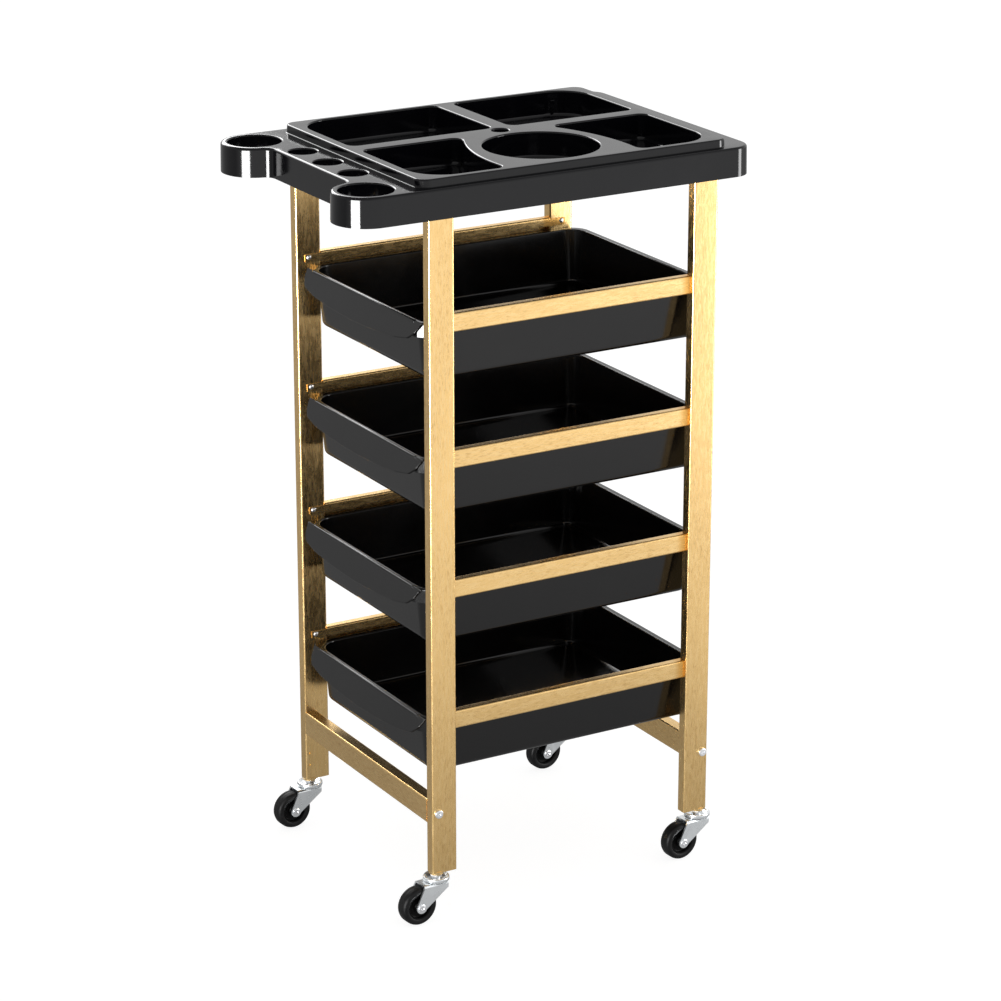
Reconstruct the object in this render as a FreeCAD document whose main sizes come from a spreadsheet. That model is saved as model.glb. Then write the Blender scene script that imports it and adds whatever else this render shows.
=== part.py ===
import FreeCAD, Part
import math
import os

import Sketcher

# Rolling salon trolley: four upright tubes and eight channel rails carry four plastic drawers,
# a moulded top tray with dryer rings sits on the tubes, and each tube stands on a swivel caster.
# Millimetres. Origin on the floor under the middle of the overall outline, +Z up, front is -Y.

DIMENSIONS = {
    # frame of rectangular tube
    "frame_width": 321, "frame_depth": 365, "frame_mid_y": 26,
    "post_width": 14, "post_depth": 31, "post_wall": 1.2, "post_round": 2,
    "post_bottom": 57, "post_top": 818,
    "crossbar_depth": 15, "crossbar_height": 29, "crossbar_top": 144,
    "plug_length": 20, "fit_gap": 0.05,
    # channel rails
    "rail_top_1": 702, "rail_top_2": 549, "rail_top_3": 400, "rail_top_4": 246,
    "rail_height": 21, "rail_recess": 4.5, "rail_wall": 1.2, "rail_lip": 10.5, "rail_ledge": 14.5,
    "rail_tab": 20.5, "rivet_drop": 5.5, "rivet_radius": 1.6, "rivet_head": 3,
    # fasteners of the frame
    "bolt_radius": 3, "bolt_head_radius": 5, "bolt_head_height": 3, "bolt_reach": 30,
    "screw_height": 800, "screw_radius": 2, "screw_head_radius": 3.5, "screw_length": 9,
    "stake_radius": 1.5, "stake_inset": 4, "stake_low": 76, "stake_high": 91,
    # top tray
    "tray_width": 336, "tray_front": -214, "tray_rear": 252, "tray_skirt": 810, "tray_rim": 843,
    "plate_top": 852, "plate_width": 317, "plate_front": -165, "plate_rear": 223, "plate_round": 14,
    "tray_wall": 3, "tray_round": 25, "ring_spread": 130, "ring_outer": 38, "ring_bore": 30,
    "ring_wall": 2.5, "tool_spread": 58, "tool_row": -191, "tool_bore": 16, "collar_depth": 15,
    "pocket_floor": 822, "pocket_wall": 2.2, "pocket_round": 10, "pocket_far": -151,
    "pocket_mid_far": -18, "pocket_mid_near": 3, "pocket_near": 149, "pocket_front": -152.5,
    "pocket_rear": 210, "pocket_rib_front": 26, "pocket_rib_rear": 48, "pocket_big_round": 40,
    "bowl_x": 80, "bowl_y": 29, "bowl_radius": 64.5, "bowl_clearance": 86,
    "sweep_x": 120, "sweep_radius": 231, "sweep_front": -18, "sweep_rear": 76,
    "socket_x": -4.5, "socket_y": 27, "socket_bore": 10, "boss_bottom": 790,
    # drawers, heights measured down from the rail top
    "flange_drop": 15, "flange_thickness": 4.4, "flange_width": 292, "flange_front": -152,
    "flange_rear": 217, "flange_round": 22, "flange_chamfer": 26, "rim_height": 16, "rim_rear": -127,
    "drawer_depth": 65, "drawer_wall": 2.2,
    "drawer_top_width": 281, "drawer_bottom_width": 264, "drawer_top_front": -145,
    "drawer_top_rear": 212, "drawer_bottom_front": -140, "drawer_bottom_rear": 204,
    "drawer_round": 22, "drawer_front_round": 28, "bead_radius": 2.5, "bead_width": 236,
    "bead_y": -149.5, "pull_fall": 25.6, "pull_reach": 16, "pull_wall": 2.5, "ajar": 4.5,
    "pull_width": 266, "pull_corner_width": 254, "pull_corner_reach": 7, "pull_bend_width": 240,
    "pull_bend_reach": 11, "pull_edge_width": 188, "pull_edge_reach": 14,
    # casters, in the caster's own frame: the swivel axis is upright, the wheel trails along -Y
    "stem_inset": 8, "caster_turn": 3, "trail": 25.5, "axle_height": 22, "axle_radius": 3,
    "axle_head_radius": 4.5, "axle_head": 1.5, "wheel_radius": 22, "wheel_half": 8, "rim_radius": 15,
    "hub_half": 7, "hub_bore": 3.3, "leg_inner": 9, "sheet": 2, "crown_top": 47.5,
    "crown_radius": 14, "crown_reach": 21, "leg_end_radius": 6.5, "swivel_bore": 5.3,
    "stem_radius": 5, "stem_top": 88, "collar_radius": 7, "cap_radius": 15, "cap_top": 52.4,
    "cap_wall": 1.5, "cap_skirt": 48.1, "rivet_radius_big": 7.5, "rivet_bottom": 43.5,
    "ball_radius": 1.5, "ball_circle": 10, "boss_radius": 8, "boss_low": 54.5, "insert_top": 92,
}
BALL_COUNT = 12
CORNERS = {"front_left": (-1, -1), "front_right": (1, -1), "rear_left": (-1, 1), "rear_right": (1, 1)}
SIDES = {"left": -1, "right": 1}
ENDS = {"front": -1, "rear": 1}
LEVELS = (1, 2, 3, 4)
AJAR_LEVEL = 3

doc = FreeCAD.newDocument("salon_trolley")
sheet = doc.addObject("Spreadsheet::Sheet", "Sizes")
for row, (alias, number) in enumerate(DIMENSIONS.items(), start=1):
    sheet.set(f"A{row}", str(number))
    sheet.setAlias(f"A{row}", alias)
doc.recompute()


class Size:
    """A number in millimetres that remembers the spreadsheet formula it comes from."""

    def __init__(self, value, formula):
        self.value = float(value)
        self.formula = formula

    @staticmethod
    def of(item):
        return item if isinstance(item, Size) else Size(item, f"({item})")

    def __add__(self, other):
        other = Size.of(other)
        return Size(self.value + other.value, f"({self.formula} + {other.formula})")

    def __sub__(self, other):
        other = Size.of(other)
        return Size(self.value - other.value, f"({self.formula} - {other.formula})")

    def __mul__(self, other):
        other = Size.of(other)
        return Size(self.value * other.value, f"({self.formula} * {other.formula})")

    def __truediv__(self, other):
        other = Size.of(other)
        return Size(self.value / other.value, f"({self.formula} / {other.formula})")

    def __neg__(self):
        return Size(-self.value, f"(-1 * {self.formula})")

    def __rsub__(self, other):
        return Size.of(other) - self

    __radd__ = __add__
    __rmul__ = __mul__


def size(alias):
    """The sheet's cell with this alias."""
    return Size(DIMENSIONS[alias], f"Sizes.{alias}")


def bind(item, path, length):
    """Drives one property of a document object from the sheet."""
    item.setExpression(path, Size.of(length).formula)


def move(item, x=0, y=0, z=0):
    """Places an object by formulas and keeps the turn it already has."""
    for axis, distance in zip("xyz", (x, y, z)):
        bind(item, f"Placement.Base.{axis}", distance)
    return item


# --- building blocks -------------------------------------------------------------------------

def block(name, x, y, z):
    """A box from three (low, high) pairs."""
    item = doc.addObject("Part::Box", name)
    for path, (low, high) in zip(("Length", "Width", "Height"), (x, y, z)):
        bind(item, path, Size.of(high) - low)
    return move(item, x[0], y[0], z[0])


def rod(name, radius, span, at, along="Z"):
    """A cylinder; span is (low, high) along its axis, at is its place on the other two axes."""
    item = doc.addObject("Part::Cylinder", name)
    bind(item, "Radius", radius)
    bind(item, "Height", Size.of(span[1]) - span[0])
    if along == "Z":
        return move(item, at[0], at[1], span[0])
    turned_to_x = FreeCAD.Rotation(FreeCAD.Vector(0, 1, 0), 90)
    item.Placement = FreeCAD.Placement(FreeCAD.Vector(0, 0, 0), turned_to_x)
    return move(item, span[0], at[0], at[1])


def fuse(name, *items):
    joined = doc.addObject("Part::MultiFuse", name)
    joined.Shapes = list(items)
    return joined


def cut(name, base, *tools):
    """The base less every tool."""
    left = doc.addObject("Part::Cut", name)
    left.Base = base
    left.Tool = tools[0] if len(tools) == 1 else fuse(name + "_tools", *tools)
    return left


def group(name, *items):
    """Separate solids that share one node."""
    together = doc.addObject("Part::Compound", name)
    together.Links = list(items)
    return together


def rounded(name, base, radius, wanted, kind="Part::Fillet"):
    """Fillets, or chamfers, the base's edges for which wanted(edge) is true."""
    doc.recompute()
    item = doc.addObject(kind, name)
    item.Base = base
    number = Size.of(radius).value
    edges = enumerate(base.Shape.Edges, start=1)
    item.Edges = [(index, number, number) for index, edge in edges if wanted(edge)]
    return item


def upright(edge):
    """Whether an edge runs mostly up."""
    return abs(edge.tangentAt(edge.FirstParameter).z) > 0.8


def front_upright(edge):
    """Whether an edge runs mostly up in the front half."""
    return upright(edge) and edge.CenterOfMass.y < 0


def rear_upright(edge):
    """Whether an edge runs mostly up in the rear half."""
    return upright(edge) and edge.CenterOfMass.y > 0


def outline(body, role, points):
    """A closed sketch on one of the body's own origin planes, every corner driven by the sheet."""
    sketch = body.newObject("Sketcher::SketchObject", body.Name + "_outline")
    plane = next(item for item in body.Origin.OriginFeatures if item.Role == role)
    sketch.AttachmentSupport = [(plane, "")]
    sketch.MapMode = "FlatFace"
    corners = [FreeCAD.Vector(Size.of(u).value, Size.of(v).value, 0) for u, v in points]
    following = corners[1:] + corners[:1]
    for start, end in zip(corners, following):
        sketch.addGeometry(Part.LineSegment(start, end), False)
    count = len(points)
    for index in range(count):
        sketch.addConstraint(Sketcher.Constraint("Coincident", index, 2, (index + 1) % count, 1))
    for index, pair in enumerate(points):
        for kind, distance in zip(("DistanceX", "DistanceY"), pair):
            distance = Size.of(distance)
            held = sketch.addConstraint(Sketcher.Constraint(kind, -1, 1, index, 1, distance.value))
            sketch.setExpression(f"Constraints[{held}]", distance.formula)
    return sketch


def turned(name, points):
    """A lathe-turned body about its own Z; points are (radius, height)."""
    body = doc.addObject("PartDesign::Body", name)
    sketch = outline(body, "XZ_Plane", points)
    doc.recompute()
    spin = body.newObject("PartDesign::Revolution", name + "_spin")
    spin.Profile = sketch
    spin.ReferenceAxis = (sketch, ["V_Axis"])
    spin.Angle = 360
    return body


def padded(name, role, points, length):
    """A prism centred on one of the body's own origin planes."""
    body = doc.addObject("PartDesign::Body", name)
    sketch = outline(body, role, points)
    pad = body.newObject("PartDesign::Pad", name + "_pad")
    pad.Profile = sketch
    pad.Midplane = True
    bind(pad, "Length", length)
    return body


def mirrored_span(side, inner, outer):
    """A (low, high) pair at this side, +1 or -1, of the middle."""
    return (inner, outer) if side > 0 else (-Size.of(outer), -Size.of(inner))


def frame_y(end, inner, outer):
    """A (low, high) pair along Y at this end of the frame, measured from the frame's middle."""
    low, high = mirrored_span(end, inner, outer)
    return low + size("frame_mid_y"), high + size("frame_mid_y")


NODES = {}


def keep(name, item):
    """Gives a finished sub-part its label and adds it to what is written out."""
    item.Label = name
    NODES[name] = item


# --- frame -----------------------------------------------------------------------------------

half_width = size("frame_width") / 2
half_depth = size("frame_depth") / 2
post_inner_x = half_width - size("post_width")
post_inner_y = half_depth - size("post_depth")
post_mid_y = half_depth - size("post_depth") / 2
bolt_y = half_depth - size("crossbar_depth") / 2
bolt_z = size("crossbar_top") - size("crossbar_height") / 2
stem_y = half_depth - size("stem_inset")
stem_x = half_width - size("post_width") / 2


def rail_top(level):
    return size(f"rail_top_{level}")


def end_y(end, distance):
    """A place along Y, measured from the frame's middle towards this end."""
    return size("frame_mid_y") + distance * end


def make_post(name, side, end):
    """One upright tube with its rivet, screw, bolt and stake holes."""
    wall = size("post_wall")
    z = (size("post_bottom"), size("post_top"))
    outside = block(name + "_outside", mirrored_span(side, post_inner_x, half_width),
                    frame_y(end, post_inner_y, half_depth), z)
    outside = rounded(name + "_rounded", outside, size("post_round"), upright)
    inside = block(name + "_inside", mirrored_span(side, post_inner_x + wall, half_width - wall),
                   frame_y(end, post_inner_y + wall, half_depth - wall), (z[0] - 1, z[1] + 1))
    inner_wall = mirrored_span(side, post_inner_x - 1, post_inner_x + wall + 1)
    whole_width = mirrored_span(side, post_inner_x - 1, half_width + 1)
    holes = [rod(f"{name}_rivet_hole_{level}", size("rivet_radius"), inner_wall,
                 (end_y(end, post_mid_y), rail_top(level) - size("rivet_drop")), "X")
             for level in LEVELS]
    holes.append(rod(name + "_screw_hole", size("screw_radius"), inner_wall,
                     (end_y(end, post_mid_y), size("screw_height")), "X"))
    holes.append(rod(name + "_bolt_hole", size("bolt_radius"), whole_width,
                     (end_y(end, bolt_y), bolt_z), "X"))
    for which in ("low", "high"):
        holes.append(rod(f"{name}_stake_{which}", size("stake_radius"), inner_wall,
                         (end_y(end, half_depth - size("stake_inset")), size(f"stake_{which}")), "X"))
    keep(name, cut(name, outside, inside, *holes))


def make_crossbar(name, end):
    """A closed tube between two posts, flush with their outer faces."""
    wall = size("post_wall")
    x = (-post_inner_x, post_inner_x)
    depth, height, top = size("crossbar_depth"), size("crossbar_height"), size("crossbar_top")
    outside = block(name + "_outside", x, frame_y(end, half_depth - depth, half_depth),
                    (top - height, top))
    inside = block(name + "_inside", (x[0] - 1, x[1] + 1),
                   frame_y(end, half_depth - depth + wall, half_depth - wall),
                   (top - height + wall, top - wall))
    keep(name, cut(name, outside, inside))


def make_crossbar_plug(name, side, end):
    """The threaded block in the end of a crossbar."""
    clear = size("post_wall") + size("fit_gap")
    depth, height, top = size("crossbar_depth"), size("crossbar_height"), size("crossbar_top")
    body = block(name + "_body", mirrored_span(side, post_inner_x - size("plug_length"), post_inner_x),
                 frame_y(end, half_depth - depth + clear, half_depth - clear),
                 (top - height + clear, top - clear))
    bore = rod(name + "_bore", size("bolt_radius"),
               mirrored_span(side, post_inner_x - size("plug_length") - 1, post_inner_x + 1),
               (end_y(end, bolt_y), bolt_z), "X")
    return cut(name, body, bore)


def make_bolt(name, side, end):
    """A button-head bolt through the post into the crossbar's plug."""
    at = (end_y(end, bolt_y), bolt_z)
    head = rod(name + "_head", size("bolt_head_radius"),
               mirrored_span(side, half_width, half_width + size("bolt_head_height")), at, "X")
    shank = rod(name + "_shank", size("bolt_radius") - size("fit_gap"),
                mirrored_span(side, half_width - size("bolt_reach"), half_width), at, "X")
    return fuse(name, head, shank)


def make_foot_insert(name, side, end):
    """The steel block that closes a post and takes the caster's stem, with its round boss."""
    clear = size("post_wall") + size("fit_gap")
    bottom = size("post_bottom")
    at = (stem_x * side, end_y(end, stem_y))
    body = block(name + "_body", mirrored_span(side, post_inner_x + clear, half_width - clear),
                 frame_y(end, post_inner_y + clear, half_depth - clear), (bottom, size("insert_top")))
    boss = rod(name + "_boss", size("boss_radius"), (size("boss_low"), bottom), at)
    bore = rod(name + "_bore", size("stem_radius") + size("fit_gap"),
               (size("boss_low") - 1, size("insert_top") + 1), at)
    return cut(name, fuse(name + "_solid", body, boss), bore)


def make_tray_screw(name, side, end):
    """A screw through the post's inner wall into the tray's boss."""
    at = (end_y(end, post_mid_y), size("screw_height"))
    head = rod(name + "_head", size("screw_head_radius"),
               mirrored_span(side, post_inner_x - 2, post_inner_x), at, "X")
    shank = rod(name + "_shank", size("screw_radius") - size("fit_gap"),
                mirrored_span(side, post_inner_x, post_inner_x + size("screw_length")), at, "X")
    return fuse(name, head, shank)


def make_rivet(name, side, end, level):
    """A rivet through a rail's tab and the post's inner wall."""
    at = (end_y(end, post_mid_y), rail_top(level) - size("rivet_drop"))
    tab_face = post_inner_x - size("rail_wall")
    head = rod(name + "_head", size("rivet_head"), mirrored_span(side, tab_face - 1.2, tab_face), at, "X")
    shank = rod(name + "_shank", size("rivet_radius") - size("fit_gap"),
                mirrored_span(side, tab_face, post_inner_x + 2.5), at, "X")
    return fuse(name, head, shank)


def make_rail(name, side, level):
    """A channel that opens inwards, with a turned-down lip whose ends lap the posts as tabs."""
    wall, top = size("rail_wall"), rail_top(level)
    bottom = top - size("rail_height")
    web_face = half_width - size("rail_recess")
    lip_x = (post_inner_x - wall, post_inner_x)
    between = (end_y(-1, post_inner_y), end_y(1, post_inner_y))
    tabs = (end_y(-1, post_inner_y + size("rail_tab")), end_y(1, post_inner_y + size("rail_tab")))
    walls = fuse(name + "_walls",
                 block(name + "_web", mirrored_span(side, web_face - wall, web_face), between,
                       (bottom, top)),
                 block(name + "_roof", mirrored_span(side, lip_x[0], web_face), between,
                       (top - wall, top)),
                 block(name + "_ledge", mirrored_span(side, web_face - size("rail_ledge"), web_face),
                       between, (bottom, bottom + wall)),
                 block(name + "_lip", mirrored_span(side, *lip_x), tabs, (top - size("rail_lip"), top)))
    holes = [rod(f"{name}_hole_{label}", size("rivet_radius"),
                 mirrored_span(side, lip_x[0] - 1, lip_x[1] + 0.5),
                 (end_y(end, post_mid_y), top - size("rivet_drop")), "X")
             for label, end in ENDS.items()]
    keep(name, cut(name, walls, *holes))


# --- top tray --------------------------------------------------------------------------------

def pocket(name, x, y, z, grow, big_round=None, sweep_y=None):
    """The hollow of a compartment, or with grow its outside.

    big_round is (x sign, y sign) of the corner that leaves room for a post, and sweep_y the middle
    of the large arc that bows one end away from the round compartment.
    """
    x = (Size.of(x[0]) - grow, Size.of(x[1]) + grow)
    y = (Size.of(y[0]) - grow, Size.of(y[1]) + grow)
    space = block(name + "_space", x, y, z)
    if sweep_y is not None:
        arc = rod(name + "_sweep", size("sweep_radius") - grow, (Size.of(z[0]) - 1, Size.of(z[1]) + 1),
                  (size("sweep_x"), sweep_y))
        space = cut(name + "_swept", space, arc)
    middle = ((x[0].value + x[1].value) / 2, (y[0].value + y[1].value) / 2)

    def big(edge):
        place = edge.CenterOfMass
        signs = (math.copysign(1, place.x - middle[0]), math.copysign(1, place.y - middle[1]))
        return upright(edge) and signs == big_round

    space = rounded(name + "_big_round", space, size("pocket_big_round") + grow, big)
    return rounded(name, space, size("pocket_round") + grow, lambda edge: sharp_upright(edge, space))


def sharp_upright(edge, item):
    """Whether an edge is a sharp upright corner and not the seam beside a fillet."""
    if not upright(edge):
        return False
    faces = [face for face in item.Shape.Faces if any(own.isSame(edge) for own in face.Edges)]
    if len(faces) != 2:
        return False
    normals = []
    for face in faces:
        u, v = face.Surface.parameter(edge.CenterOfMass)
        normals.append(face.normalAt(u, v))
    return abs(normals[0].dot(normals[1])) < 0.9


def tray_pockets(name, z, grow):
    """All five compartments as hollows, or with grow as the outsides of their walls."""
    far = (size("pocket_far"), size("pocket_mid_far"))
    near = (size("pocket_mid_near"), size("pocket_near"))
    reach = size("bowl_clearance")
    return [
        pocket(name + "_far_front", far, (size("pocket_front"), size("pocket_rib_front")), z, grow,
               (-1, -1)),
        pocket(name + "_far_rear", far, (size("pocket_rib_rear"), size("pocket_rear")), z, grow,
               (-1, 1)),
        pocket(name + "_near_front", near, (size("pocket_front"), size("sweep_front")), z, grow,
               (1, -1), size("bowl_y") - reach + size("sweep_radius")),
        pocket(name + "_near_rear", near, (size("sweep_rear"), size("pocket_rear")), z, grow,
               (1, 1), size("bowl_y") + reach - size("sweep_radius")),
        rod(name + "_bowl", size("bowl_radius") + grow, z, (size("bowl_x"), size("bowl_y"))),
    ]


def tray_body(name, inset, top):
    """The tray's rim outline from the skirt's edge up to top, drawn in by inset."""
    half = size("tray_width") / 2 - inset
    z = (size("tray_skirt"), top)
    main = block(name + "_main", (-half, half),
                 (size("tray_front") + inset, size("tray_rear") - inset), z)
    main = rounded(name + "_round", main, size("tray_round") - inset, rear_upright)
    rings = [rod(f"{name}_ring_{label}", size("ring_outer") - inset, z,
                 (size("ring_spread") * side, size("tray_front"))) for label, side in SIDES.items()]
    return fuse(name, main, *rings)


def tray_plate(name, inset, z):
    """The raised plate, drawn in by inset."""
    half = size("plate_width") / 2 - inset
    plate = block(name + "_block", (-half, half),
                  (size("plate_front") + inset, size("plate_rear") - inset), z)
    return rounded(name, plate, size("plate_round") - inset, upright)


def make_tray():
    """The moulded top tray: skirt, raised plate, compartments, rings, tool holes and bosses."""
    wall, rim, skirt, top = size("tray_wall"), size("tray_rim"), size("tray_skirt"), size("plate_top")
    shell = cut("tray_shell",
                fuse("tray_outside", tray_body("tray_skin", 0, rim),
                     tray_plate("tray_plate", 0, (rim - wall, top))),
                tray_body("tray_hollow", wall, rim - wall),
                tray_plate("tray_plate_hollow", wall, (rim - wall - 1, top - wall)))
    walls = tray_pockets("tray_pocket_wall", (size("pocket_floor") - size("pocket_wall"), top - 1),
                         size("pocket_wall"))
    hollows = tray_pockets("tray_pocket", (size("pocket_floor"), top + 1), 0)
    added, bores = [], []
    for label, side in SIDES.items():
        at = (size("ring_spread") * side, size("tray_front"))
        added.append(rod(f"ring_tube_{label}", size("ring_bore") + size("ring_wall"), (skirt, rim), at))
        bores.append(rod(f"ring_bore_{label}", size("ring_bore"), (skirt - 1, rim + 1), at))
    for label, place in (("left", -1), ("middle", 0), ("right", 1)):
        at = (size("tool_spread") * place, size("tool_row"))
        depth = (rim - size("collar_depth"), rim)
        added.append(rod(f"tool_collar_{label}", size("tool_bore") + size("ring_wall"), depth, at))
        bores.append(rod(f"tool_bore_{label}", size("tool_bore"), (depth[0] - 1, rim + 1), at))
    at = (size("socket_x"), size("socket_y"))
    added.append(rod("socket_wall", size("socket_bore") + size("pocket_wall"),
                     (size("pocket_floor") - size("pocket_wall"), top), at))
    bores.append(rod("socket_bore", size("socket_bore"), (size("pocket_floor"), top + 1), at))
    clear = size("post_wall") + 0.1
    for label, (side, end) in CORNERS.items():
        added.append(block(f"boss_{label}", mirrored_span(side, post_inner_x + clear, half_width - clear),
                           frame_y(end, post_inner_y + clear, half_depth - clear),
                           (size("boss_bottom"), rim - 1)))
        bores.append(rod(f"boss_pilot_{label}", size("screw_radius"),
                         mirrored_span(side, post_inner_x, post_inner_x + size("screw_length")),
                         (end_y(end, post_mid_y), size("screw_height")), "X"))
    keep("top_tray", cut("top_tray", fuse("tray_solid", shell, *walls, *added), *hollows, *bores))


# --- drawers ---------------------------------------------------------------------------------

def tapered_box(name, level, shrink, low, high):
    """The drawer's tapered outline between two depths below its flange, drawn in by shrink."""
    top = rail_top(level) - size("flange_drop")
    full = size("drawer_depth")

    def between(upper, lower, depth, inset):
        """The place at a depth on the straight line from the flange to the floor."""
        return upper + (lower - upper) * (depth / full) + inset

    item = doc.addObject("Part::Wedge", name + "_wedge")
    half_top, half_bottom = size("drawer_top_width") / 2, size("drawer_bottom_width") / 2
    front = (size("drawer_top_front"), size("drawer_bottom_front"))
    rear = (size("drawer_top_rear"), size("drawer_bottom_rear"))
    bind(item, "Ymin", low)
    bind(item, "Ymax", high)
    for suffix, depth in (("", low), ("2", high)):
        half = between(half_top, half_bottom, depth, -Size.of(shrink))
        bind(item, f"X{suffix}min", -half)
        bind(item, f"X{suffix}max", half)
        bind(item, f"Z{suffix}min", between(*front, depth, Size.of(shrink)))
        bind(item, f"Z{suffix}max", between(*rear, depth, -Size.of(shrink)))
    turned_down = FreeCAD.Rotation(FreeCAD.Vector(1, 0, 0), -90)
    item.Placement = FreeCAD.Placement(FreeCAD.Vector(0, 0, 0), turned_down)
    move(item, z=top)
    front_round = rounded(name + "_front", item, size("drawer_front_round") - shrink, front_upright)
    return rounded(name, front_round, size("drawer_round") - shrink, rear_upright)


def make_pull(name, level):
    """The sloping pull under the front bead, its lower corners cut away."""
    top = rail_top(level) - size("flange_drop")
    edge_y = size("bead_y") - size("pull_reach")
    edge_z = top - size("pull_fall")
    slope = math.hypot(DIMENSIONS["pull_reach"], DIMENSIONS["pull_fall"])
    across = size("pull_wall") * (DIMENSIONS["pull_fall"] / slope)
    down = size("pull_wall") * (DIMENSIONS["pull_reach"] / slope)
    strip = padded(name + "_strip", "YZ_Plane",
                   [(size("bead_y"), top + 1.5), (edge_y, edge_z), (edge_y + across, edge_z - down),
                    (size("bead_y") + across, top - down)], size("pull_width"))
    profile = [(size("pull_width") / 2, size("bead_y") + 10), (size("pull_width") / 2, size("bead_y"))]
    for place in ("corner", "bend", "edge"):
        profile.append((size(f"pull_{place}_width") / 2, size("bead_y") - size(f"pull_{place}_reach")))
    mirror = [(-x, y) for x, y in profile]
    plan = padded(name + "_plan", "XY_Plane", mirror + [(Size.of(0), edge_y)] + profile[::-1],
                  size("plate_top") * 2)
    pull = doc.addObject("Part::Common", name)
    pull.Base = strip
    pull.Tool = plan
    return pull


def make_drawer(name, level):
    """One moulded drawer: tapered bin, flange that runs in the rails, front rim, bead and pull.

    The drawer at AJAR_LEVEL stands a little forward of the others.
    """
    top = rail_top(level) - size("flange_drop")
    half = size("flange_width") / 2
    outside = tapered_box(name + "_outside", level, 0, Size.of(0), size("drawer_depth"))
    inside = tapered_box(name + "_inside", level, size("drawer_wall"), Size.of(-1),
                         size("drawer_depth") - size("drawer_wall"))
    flange = block(name + "_flange_block", (-half, half), (size("flange_front"), size("flange_rear")),
                   (top - size("flange_thickness"), top))
    flange = rounded(name + "_flange_rear", flange, size("flange_round"), rear_upright)
    rim = block(name + "_rim_block", (-half, half), (size("flange_front"), size("rim_rear")),
                (top - size("rim_height"), top))
    flange = rounded(name + "_flange", flange, size("flange_chamfer"), front_upright, "Part::Chamfer")
    rim = rounded(name + "_rim", rim, size("flange_chamfer") - 2,
                  lambda edge: upright(edge) and edge.CenterOfMass.y < (size("rim_rear") - 1).value,
                  "Part::Chamfer")
    bead_half = size("bead_width") / 2
    bead = rod(name + "_bead", size("bead_radius"), (-bead_half, bead_half),
               (size("bead_y"), top), "X")
    solid = fuse(name + "_solid", outside, flange, rim, bead, make_pull(name + "_pull", level))
    drawer = cut(name, solid, inside)
    keep(name, move(drawer, y=-size("ajar")) if level == AJAR_LEVEL else drawer)


# --- casters ---------------------------------------------------------------------------------

def stand(item, side, end, lift=0):
    """Sets a caster piece, made about its own swivel axis, under its post and turned."""
    turn = FreeCAD.Rotation(FreeCAD.Vector(0, 0, 1), DIMENSIONS["caster_turn"])
    item.Placement = FreeCAD.Placement(FreeCAD.Vector(0, 0, 0), turn)
    return move(item, stem_x * side, end_y(end, stem_y), lift)


def on_axle(item, side, end):
    """Lays a turned piece on the axle line of its caster."""
    turn = FreeCAD.Rotation(FreeCAD.Vector(0, 0, 1), DIMENSIONS["caster_turn"])
    lay = FreeCAD.Rotation(FreeCAD.Vector(0, 1, 0), 90)
    item.Placement = FreeCAD.Placement(FreeCAD.Vector(0, 0, 0), turn * lay)
    angle = math.radians(DIMENSIONS["caster_turn"])
    return move(item, stem_x * side + size("trail") * math.sin(angle),
                end_y(end, stem_y) - size("trail") * math.cos(angle), size("axle_height"))


def make_stem(name):
    """Threaded stem, its collar over the cap, and the riveted end under the fork."""
    radius, crown = size("stem_radius"), size("crown_top")
    under_crown = crown - size("sheet") - 0.3
    return turned(name, [(0, size("rivet_bottom")), (size("rivet_radius_big"), size("rivet_bottom")),
                         (size("rivet_radius_big"), under_crown), (radius, under_crown),
                         (radius, size("cap_top")), (size("collar_radius"), size("cap_top")),
                         (size("collar_radius"), size("boss_low")), (radius, size("boss_low")),
                         (radius, size("stem_top")), (radius - 1, size("stem_top") + 1),
                         (0, size("stem_top") + 1)])


def make_cap(name):
    """The upper race: a shallow pressed cup over the balls."""
    bore, outer, top, wall = (size("stem_radius") + size("fit_gap"), size("cap_radius"),
                              size("cap_top"), size("cap_wall"))
    return turned(name, [(bore, top - wall), (outer - wall, top - wall),
                         (outer - wall, size("cap_skirt")), (outer, size("cap_skirt")),
                         (outer, top - wall), (outer - wall, top), (bore, top)])


def make_fork(name, side, end):
    """Folded sheet fork: a crown round the swivel axis and two legs down to the axle."""
    sheet_gauge, crown, axle = size("sheet"), size("crown_top"), size("axle_height")
    outer = size("leg_inner") + sheet_gauge
    trail, reach, end_radius = size("trail"), size("crown_reach"), size("leg_end_radius")
    plate = block(name + "_plate", (-outer, outer), (-reach, size("collar_radius") + 2),
                  (crown - sheet_gauge, crown))
    disc = rod(name + "_disc", size("crown_radius"), (crown - sheet_gauge, crown), (0, 0))
    sides = padded(name + "_sides", "YZ_Plane",
                   [(size("collar_radius") + 2, crown), (size("collar_radius") + 2, crown - 7.5),
                    (-trail + end_radius * 0.66, axle - end_radius * 0.75),
                    (-trail - end_radius * 0.98, axle + end_radius * 0.2), (-reach, crown)],
                   outer * 2)
    ends = rod(name + "_ends", end_radius, (-outer, outer), (-trail, axle), "X")
    gap = block(name + "_gap", (-size("leg_inner"), size("leg_inner")),
                (-trail - end_radius * 2, size("crown_radius") + 2), (0, crown - sheet_gauge))
    axle_bore = rod(name + "_axle_bore", size("axle_radius") + size("fit_gap"),
                    (-outer - 1, outer + 1), (-trail, axle), "X")
    swivel_bore = rod(name + "_swivel_bore", size("swivel_bore"), (crown - sheet_gauge - 1, crown + 1),
                      (0, 0))
    solid = fuse(name + "_solid", plate, disc, sides, ends)
    return stand(cut(name, solid, gap, axle_bore, swivel_bore), side, end)


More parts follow.
